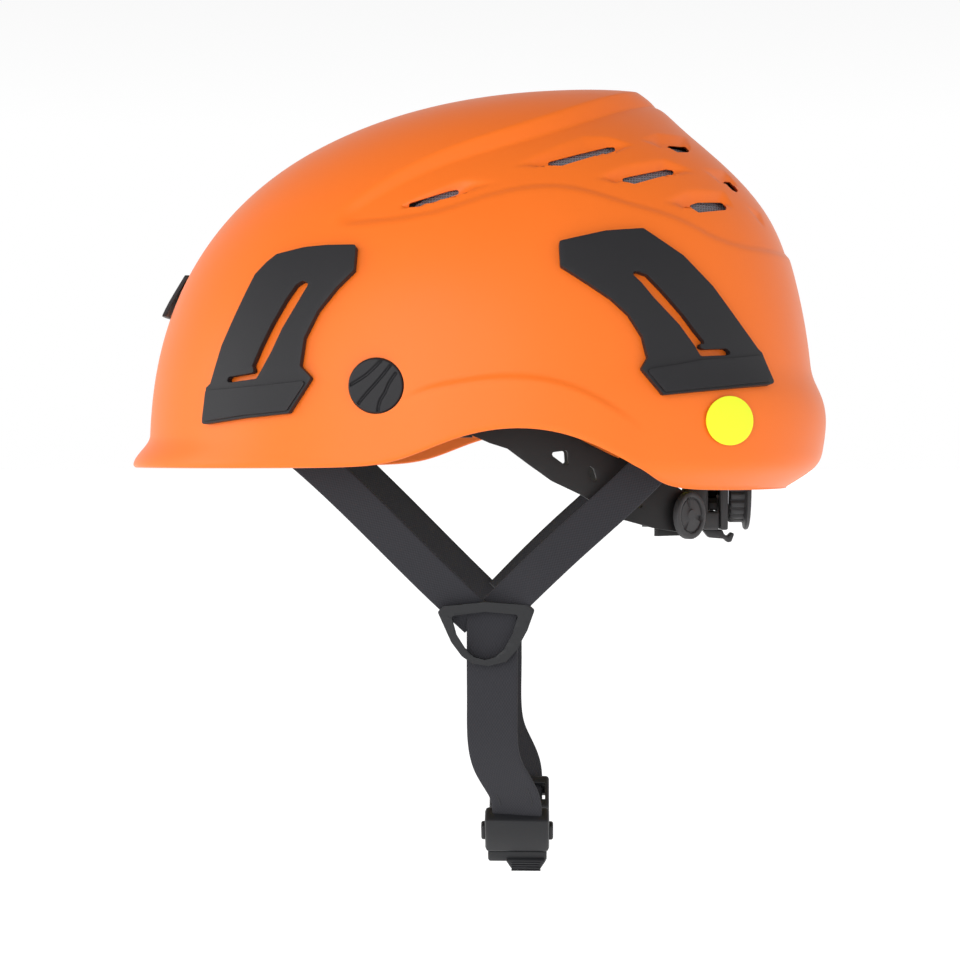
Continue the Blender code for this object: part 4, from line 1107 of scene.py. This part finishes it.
def make_arms():
    """Side arms, plates bent to their plan with windows cut out, and the turned bosses at their ends."""
    outline = [(-12, 28.5), (-11.5, 15.5), (6, 15), (14, 11.5), (20, 7.5), (28, 1.5), (37, -5), (47, -12),
               (64, -20), (76, -25.5), (90, -28), (92, -9), (80, -4), (60, 5), (44, 13), (30, 20), (12, 28.5)]
    windows = [[(35.5, 6), (43, 7), (43.5, 0)], [(50.8, 0.6), (53.2, 0), (54.4, -4.8), (52.4, -5.2)],
               [(62, -3), (72, -8), (72, -16), (66, -14)]]
    holes = [rounded(w, 1, 3) for w in windows] + [circle(TEMPLE_Y, TEMPLE_Z, 3.2, 32)]
    arm = plate("arm_web_left", [rounded(outline, 3, 5)] + holes, 2.0, 0.5, onto_arm)
    pair(arm, "band", "arm_left_body", "arm_left")
    direction = (math.cos(BOSS_TURN), math.sin(BOSS_TURN), 0)
    profile = [(0, 5.5), (2.2, 5.5), (2.5, 5.1), (2.8, 5.0), (6.4, 5.0), (6.6, 4.6), (7.0, 4.6), (7.2, 5.4),
               (7.6, 5.6), (8.8, 5.6), (9.2, 5.4), (BOSS_RADIUS, 5.0), (BOSS_RADIUS, 3.2), (9.1, 2.9),
               (2.3, 2.9), (2.3, -4.5), (0, -4.5)]

    def notches(r, height, angle):
        """Three short notches in the boss's raised ring."""
        notch = (np.cos(3 * angle + 0.6) > 0.9) & (r > 5.0) & (r < 7.4) & (height > 4.0)
        return r, height - 0.8 * notch

    boss = turned("boss_left", BOSS, direction, profile, 96, notches)
    pair(boss, "housing", "arm_left_body", "arm_pin_left")


def make_headband():
    """Front band along half an ellipse, and the quilted brow pad on its inner side."""
    turn = np.radians(np.linspace(88, 272, 120))
    path = np.stack([BAND_HALF_WIDTH * np.sin(turn), BAND_Y + BAND_REACH * np.cos(turn),
                     TEMPLE_Z + 0 * turn], 1)
    band = strap("head_band", path, (0, 0, 1), BAND_HEIGHT, BAND_WALL, 0.6)
    done(band, "band", "helmet", "headband_front")
    across, up, thick, _ = cushion_form(28, 96, 0.7, 0.4, 0.6, 0.5)
    quilt = 0.35 * np.cos(across * 5 * math.pi) ** 8 * (thick < -0.3)
    depth = BROW_WALL / 2 * (1 - thick) - quilt
    turn = np.radians(180 + 49.5 * across)
    x = (BAND_HALF_WIDTH - BROW_INSET_X - depth) * np.sin(turn)
    y = BAND_Y + (BAND_REACH - BROW_INSET_Y - depth) * np.cos(turn)
    brow = surface("brow_cushion", np.stack([x, y, TEMPLE_Z + 7.8 * up + 0 * turn], -1), wrap_columns=True,
                   sharp=75)
    swell(brow, 0.6)
    done(brow, "pad", "helmet", "brow_pad")


def make_nape_unit():
    """Ratchet case, cover, hook and racks with rounded edges, and the pad before them."""
    for node, name, edge, colour, body in (
            ("nape_housing", "ratchet_case", 0.9, "housing", "cradle"),
            ("nape_cover", "ratchet_cover", 0.8, "housing", "cradle"),
            ("nape_hanger", "ratchet_hanger", 0.5, "housing", "cradle"),
            ("rack_left", "rack_bar_left", 0.25, "band", "rack_left_body"),
            ("rack_right", "rack_bar_right", 0.25, "band", "rack_right_body")):
        done(worked_copy(node, name, edge), colour, body, node)
    nape = pad_block("nape_cushion", (-13.5, 92.5, -23), (13.5, 99.5, 6))
    swell(nape, 0.6)
    done(nape, "pad", "cradle", "nape_pad")
    refinish("detent_spring", "steel")
    refinish("pinion", "band")


def pad_block(name, low, high):
    """Flat-backed pad: the cushion form between two corners, its outline in x and z."""
    low, high = np.asarray(low, float), np.asarray(high, float)
    across, up, thick, _ = cushion_form(24, 64, 0.6, 0.5, 0.5, 0.4)
    shape = np.stack([across, thick + 0 * across, up], -1)
    return surface(name, (low + high) / 2 + shape * (high - low) / 2, wrap_columns=True, sharp=75)


def make_knob():
    """Knob: ribbed grip below a round flange, with a shallow dish in its face."""
    profile = [(0, 119.2), (5.0, 119.25), (10.5, 119.4), (13.0, 119.75), (14.0, 119.8), (17.2, 119.8),
               (17.8, 119.5), (18.0, 119.0), (18.0, 118.4), (17.6, 118.0), (16.6, 117.8), (15.4, 117.6),
               (14.9, 117.2), (14.9, 116.0), (14.9, 114.0), (14.9, 112.2), (14.7, 111.7), (14.0, 111.4),
               (3.7, 111.4), (3.7, 115.2), (0, 115.2)]

    def ribs(r, height, angle):
        """Grip hollowed between 24 ribs, and 12 shallow rays in the face."""
        grip = (height < 117.5) & (r > 14.5)
        dents = 0.5 - 0.5 * np.cos(24 * angle)
        dish = (height > 118.9) & (r > 5) & (r < 13)
        return r - 1.0 * dents ** 3 * grip, height - 0.25 * dish * (np.cos(12 * angle) > 0.4)

    knob = turned("fit_knob", (0, 0, KNOB_Z), (0, 1, 0), profile, 288, ribs)
    done(knob, "housing", "knob", "ratchet_knob")


# ---------------------------------------------------------------- chin strap

BRANCHES = {
    "front": ([(76, -66, 12), (72.8, -51.5, -1.0), (70.8, -20, -31.8), (69.0, -5.6, -46.1), (65.4, 8.4, -59.5)],
              (0.2, 0.66, 0.72)),
    "rear": ([(79, 84, 10), (77.2, 72, -3), (74.0, 44, -29), (70.2, 26.5, -45.8), (63.4, 14.5, -58)],
             (0.2, 0.72, -0.66)),
}
CHIN_ROUTE = [(CHIN_X, CHIN_Y, -79.5), (65.5, CHIN_Y, -92), (61.5, CHIN_Y, -106), (55.5, 16, -118),
              (45.6, 22.9, -133.2), (42.4, 23.4, -138.0)]
UNDER_ROUTE = [(-36, 23.4, -145.2), (-27, 24, -151.4), (-14, 24, -155.4), (2, 24, -157.6), (16, 24, -157.6),
               (26.6, 24, -156.0)]


def stitches(name, path, across, offset, body, rows=(-5.5, 5.5), first=2, count=9):
    """Rows of short raised threads along a strap: a thin ring section swept over each stitch length."""
    along, across, through = strap_axes(path, across)
    share = np.linspace(-1, 1, 5)
    ring = np.linspace(0, 2 * math.pi, 6, endpoint=False)
    grids = []
    for row in rows:
        for k in range(first, first + count):
            size = 0.28 * np.sqrt(np.clip(1 - share ** 2, 0, 1))
            middle = path[k] + across[k] * row + through[k] * offset + 0.9 * share[:, None] * along[k]
            round_it = np.cos(ring)[:, None] * across[k] + np.sin(ring)[:, None] * through[k]
            grids.append(middle[:, None] + size[:, None, None] * round_it)
    parts = [surface(f"{name}_{i}", grid, wrap_columns=True) for i, grid in enumerate(grids)]
    work = bmesh.new()
    for part in parts:
        work.from_mesh(part.data)
        bpy.data.objects.remove(part)
    mesh = bpy.data.meshes.new(name)
    work.to_mesh(mesh)
    work.free()
    mesh.shade_smooth()
    return done(link_piece(name, mesh), "stitch", body)


def make_webbing():
    """All webbing: the strap section carried along each branch, down the chin and under it."""
    straps = bpy.context.scene.helmet_straps
    chin, branch, wall = straps.chin_width / MM, straps.branch_width / MM, straps.thickness / MM
    for place, (points, across) in BRANCHES.items():
        path = smooth_path(points, 70)
        left = strap(f"branch_{place}_left", path, across, branch, wall)
        pair(left, "webbing", "helmet", f"strap_{place}_left")
    loop = [(CHIN_X, CHIN_Y, LOOP_TOP), (CHIN_X, CHIN_Y, -66)]
    top = smooth_path(loop + [(CHIN_X, CHIN_Y, LOOP_END)], 24)
    left = strap("chin_loop_left", top, (0, 1, 0), chin, wall)
    done(mirrored(left, "chin_loop_right"), "webbing", "helmet", "chin_strap_top_right")
    bpy.data.objects.remove(left)
    path = smooth_path(loop + CHIN_ROUTE + [(41.4, 23.4, -139.7)], 110)
    near = strap("chin_webbing_left", path, (0.1, 1, 0), chin, wall)
    done(near, "webbing", "helmet", "chin_strap_top_left", "chin_strap_left")
    far = [(-CHIN_X, CHIN_Y, LOOP_END - GAP / 2)] + [(-x, y, z) for x, y, z in CHIN_ROUTE[1:]]
    far = smooth_path(far + UNDER_ROUTE, 150)
    under = strap("chin_webbing_right", far, (-0.05, 1, 0), chin, wall)
    done(under, "webbing", "chin_right", "chin_strap_right")
    stitches("chin_stitches_left", path, (0.1, 1, 0), wall / 2, "helmet", (-6.5, 6.5), 94, 9)


def make_dividers():
    """Dividers: flat shield-shaped rings with a window, their rims rounded."""
    outer = [(-7.6, -55.9), (-5, -53.4), (11.3, -52.1), (28.6, -52.9), (31.2, -55.1), (27.8, -63.2),
             (23.9, -71.2), (19.8, -75.7), (12.8, -77.4), (6.2, -76.5), (2.0, -73.5), (-2.2, -67.9)]
    window = [(-2.6, -57.2), (11.3, -55.4), (25, -56.6), (22.6, -64.5), (19, -71), (15.5, -74), (11.5, -75.2),
              (6.8, -74), (3, -70.4), (0.2, -65)]
    shield = plate("divider_ring_left", [rounded(outer, 1.4, 5), rounded(window, 1.5, 4)], 3.0, 0.8,
                   lambda y, z, h: np.stack([DIVIDER_X - 1.5 + h, y, z], -1))
    pair(shield, "buckle", "helmet", "divider_left")


def tilted(origin, along):
    """Two functions: one lays points made along -X down along a direction, the other takes them back."""
    move = np.array(Matrix.Rotation(math.atan2(along[1], -along[0]), 3, "Y"))
    origin = np.asarray(origin, float)
    return lambda grid: grid @ move.T + origin, lambda grid: (grid - origin) @ move


def make_buckle():
    """Buckle: rounded copies of its parts, the tab narrowed to its end by a smooth step, ribs, lugs."""
    lay, lift = tilted(BUCKLE_START, BUCKLE_ALONG)
    case = worked_copy("buckle_female", "buckle_case", 0.9)
    done(case, "buckle", "helmet", "buckle_female")
    plug = worked_copy("buckle_male", "buckle_plug", 0.6)
    points = np.empty(len(plug.data.vertices) * 3)
    plug.data.vertices.foreach_get("co", points)
    local = lift(points.reshape(-1, 3) / MM)
    narrow = 1 - 0.3 * ease((-local[:, 0] - 23.0) / 4.0)
    local[:, 1] = 3.5 + (local[:, 1] - 3.5) * narrow
    plug.data.vertices.foreach_set("co", (lay(local) * MM).astype(np.float32).ravel())
    done(plug, "buckle", "chin_right", "buckle_male")
    for tag in ("front", "rear"):
        arm = worked_copy(f"prong_{tag}", f"buckle_arm_{tag}", 0.3)
        done(arm, "buckle", f"prong_{tag}_body", f"prong_{tag}")
    rib_x = np.linspace(-26.0, -22.0, 4)
    ribs = [soft_box(f"tab_rib_{k}", (x - 0.35, -2.5, -6.0), (x + 0.35, 9.5, -5.2), 0.3, turn=lay)
            for k, x in enumerate(rib_x)]
    for rib in ribs:
        done(rib, "buckle", "chin_right")
    for k, y in enumerate((-13.4, 13.4)):
        lug = soft_box(f"case_lug_{k}", (-13.0, y - 1.2, -2.0), (-5.5, y + 1.2, 2.0), 0.9, turn=lay)
        done(lug, "buckle", "helmet")


def make_adjuster():
    """Ladder adjuster with rounded edges."""
    done(worked_copy("strap_adjuster", "ladder_adjuster", 0.9), "buckle", "adjuster", "strap_adjuster")


def finish_fittings():
    """Materials for the frame nodes that stay in view as they are."""
    for side in ("left", "right"):
        refinish(f"vent_screen_{side}", "screen")
        refinish(f"slip_anchor_{side}", "rubber")
        refinish(f"temple_pin_{side}", "band")
    for place in ("front", "rear"):
        refinish(f"slip_anchor_{place}", "rubber")
        for side in ("left", "right"):
            node = f"strap_anchor_{place}_{side}"
            done(worked_copy(node, f"webbing_anchor_{place}_{side}", 0.5), "buckle", "helmet", node)


# ---------------------------------------------------------------- stage

def soft_light(name, place, target, size, power):
    """Round area light that looks at a target."""
    lamp = bpy.data.lights.new(name, "AREA")
    lamp.shape = "DISK"
    lamp.size = size
    lamp.energy = power
    light = link_piece(name, lamp)
    light.location = place
    light.rotation_euler = (Vector(target) - Vector(place)).to_track_quat("-Z", "Y").to_euler()


def make_stage():
    """White floor in widening rings, surroundings that darken overhead, two soft lights and the camera."""
    stage = bpy.context.scene.helmet_stage
    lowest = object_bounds()[0][2] - stage.floor_drop
    around = np.linspace(0, 2 * math.pi, 96, endpoint=False)[None, :]
    ring = np.linspace(0, 1, 40)[:, None]
    reach = 40000 * ring ** 2.4 + 0 * around
    height = lowest / MM + 0 * reach
    floor = surface("studio_floor", np.stack([reach * np.cos(around), reach * np.sin(around), height], -1),
                    wrap_columns=True)
    made, tree, shader, add = node_maker("pale_floor")
    place = add("ShaderNodeTexCoord")
    mottled(tree, add, shader, (place, "Object"), (0.93, 0.93, 0.93), 0.7, 0.01, 3.0)
    shader.inputs["Emission Color"].default_value = (1, 1, 1, 1)
    shader.inputs["Emission Strength"].default_value = 0.62
    floor.data.materials.append(made)
    floor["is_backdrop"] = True
    world = bpy.data.worlds.new("studio")
    world.use_nodes = True
    tree = world.node_tree
    sky = tree.nodes["Background"]
    sky.inputs["Color"].default_value = (1, 1, 1, 1)
    toward = tree.nodes.new("ShaderNodeTexCoord")
    parts = tree.nodes.new("ShaderNodeSeparateXYZ")
    fall = tree.nodes.new("ShaderNodeMapRange")
    fall.inputs["From Min"].default_value = 0.15
    fall.inputs["From Max"].default_value = 0.95
    fall.inputs["To Min"].default_value = stage.sky
    fall.inputs["To Max"].default_value = 0.28 * stage.sky
    join(tree, toward, "Generated", parts, "Vector")
    join(tree, parts, "Z", fall, "Value")
    join(tree, fall, "Result", sky, "Strength")
    bpy.context.scene.world = world
    bpy.context.scene.view_settings.view_transform = "Standard"
    soft_light("key_light", (1.3, -0.5, 0.35), (0, 0, 0.02), 1.1, stage.key_power)
    soft_light("brow_light", (0.35, -1.4, 0.25), (0, -0.1, 0.05), 0.8, stage.fill_power)
    camera_data = bpy.data.cameras.new("camera")
    camera_data.lens = stage.lens
    camera_data.sensor_width = 36
    camera_data.clip_end = 50
    camera = link_piece("camera", camera_data)
    camera.location = CAMERA_PLACE
    camera.rotation_euler = (CAMERA_TARGET - CAMERA_PLACE).to_track_quat("-Z", "Y").to_euler()
    bpy.context.scene.camera = camera


# ---------------------------------------------------------------- operators

class HELMET_OT_shell(bpy.types.Operator):
    """Build the vented outer shell"""

    bl_idname = "helmet.shell"
    bl_label = "Shell"

    def execute(self, context):
        make_shell()
        return {"FINISHED"}


class HELMET_OT_liners(bpy.types.Operator):
    """Build the foam bowl and the slip liner"""

    bl_idname = "helmet.liners"
    bl_label = "Liners"

    def execute(self, context):
        make_liners()
        return {"FINISHED"}


class HELMET_OT_pads(bpy.types.Operator):
    """Build the comfort pads on the slip liner"""

    bl_idname = "helmet.pads"
    bl_label = "Pads"

    def execute(self, context):
        make_pads()
        return {"FINISHED"}


class HELMET_OT_lamp_clips(bpy.types.Operator):
    """Build the four lamp clips and the forehead hook"""

    bl_idname = "helmet.lamp_clips"
    bl_label = "Lamp clips"

    def execute(self, context):
        make_lamp_clips()
        make_forehead_clip()
        return {"FINISHED"}


class HELMET_OT_plugs(bpy.types.Operator):
    """Build the two socket plugs and the round label"""

    bl_idname = "helmet.plugs"
    bl_label = "Plugs and label"

    def execute(self, context):
        make_plugs()
        make_label()
        return {"FINISHED"}


class HELMET_OT_head_band(bpy.types.Operator):
    """Build the front band with its brow pad"""

    bl_idname = "helmet.head_band"
    bl_label = "Head band"

    def execute(self, context):
        make_headband()
        return {"FINISHED"}


class HELMET_OT_arms(bpy.types.Operator):
    """Build the side arms and their bosses"""

    bl_idname = "helmet.arms"
    bl_label = "Side arms"

    def execute(self, context):
        make_arms()
        return {"FINISHED"}


class HELMET_OT_ratchet(bpy.types.Operator):
    """Build the ratchet case, racks, nape pad and knob"""

    bl_idname = "helmet.ratchet"
    bl_label = "Ratchet"

    def execute(self, context):
        make_nape_unit()
        make_knob()
        return {"FINISHED"}


class HELMET_OT_webbing(bpy.types.Operator):
    """Build the branches and the chin webbing"""

    bl_idname = "helmet.webbing"
    bl_label = "Webbing"

    def execute(self, context):
        make_webbing()
        return {"FINISHED"}


class HELMET_OT_dividers(bpy.types.Operator):
    """Build the strap dividers below the ears"""

    bl_idname = "helmet.dividers"
    bl_label = "Dividers"

    def execute(self, context):
        make_dividers()
        return {"FINISHED"}


class HELMET_OT_buckle(bpy.types.Operator):
    """Build the side-release buckle and the ladder adjuster"""

    bl_idname = "helmet.buckle"
    bl_label = "Buckle"

    def execute(self, context):
        make_buckle()
        make_adjuster()
        return {"FINISHED"}


class HELMET_OT_fittings(bpy.types.Operator):
    """Finish the screens, anchors and pins"""

    bl_idname = "helmet.fittings"
    bl_label = "Fittings"

    def execute(self, context):
        finish_fittings()
        return {"FINISHED"}


class HELMET_OT_stage(bpy.types.Operator):
    """Set up the floor, lights and camera"""

    bl_idname = "helmet.stage"
    bl_label = "Stage"

    def execute(self, context):
        make_stage()
        return {"FINISHED"}


OPERATORS = (HELMET_OT_shell, HELMET_OT_liners, HELMET_OT_pads, HELMET_OT_lamp_clips, HELMET_OT_plugs,
             HELMET_OT_head_band, HELMET_OT_arms, HELMET_OT_ratchet, HELMET_OT_webbing, HELMET_OT_dividers,
             HELMET_OT_buckle, HELMET_OT_fittings, HELMET_OT_stage)
SETTINGS = {"helmet_shell": HelmetShellSettings, "helmet_fit": HelmetFitSettings,
            "helmet_straps": HelmetStrapSettings, "helmet_stage": HelmetStageSettings}


class HELMET_PT_panel(bpy.types.Panel):
    """Sizes, colours and building steps of the helmet"""

    bl_label = "Climbing Helmet"
    bl_idname = "HELMET_PT_panel"
    bl_space_type = "VIEW_3D"
    bl_region_type = "UI"
    bl_category = "Helmet"

    def draw(self, context):
        layout = self.layout
        for name, kind in SETTINGS.items():
            box = layout.box()
            for field in kind.__annotations__:
                box.prop(getattr(context.scene, name), field)
        for operator in OPERATORS:
            layout.operator(operator.bl_idname)


def register():
    """Register the settings, the operators and the panel."""
    for kind in (*SETTINGS.values(), *OPERATORS, HELMET_PT_panel):
        bpy.utils.register_class(kind)
    for name, kind in SETTINGS.items():
        setattr(bpy.types.Scene, name, PointerProperty(type=kind))


def unregister():
    """Take back what register added."""
    for name in SETTINGS:
        delattr(bpy.types.Scene, name)
    for kind in reversed((*SETTINGS.values(), *OPERATORS, HELMET_PT_panel)):
        bpy.utils.unregister_class(kind)


def main():
    """Register, then build every piece in order."""
    register()
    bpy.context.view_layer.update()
    for operator in OPERATORS:
        step = getattr(bpy.ops.helmet, operator.bl_idname.split(".")[1])
        if step() != {"FINISHED"}:
            raise RuntimeError(f"{operator.bl_label} did not finish")


if __name__ == "__main__":
    main()
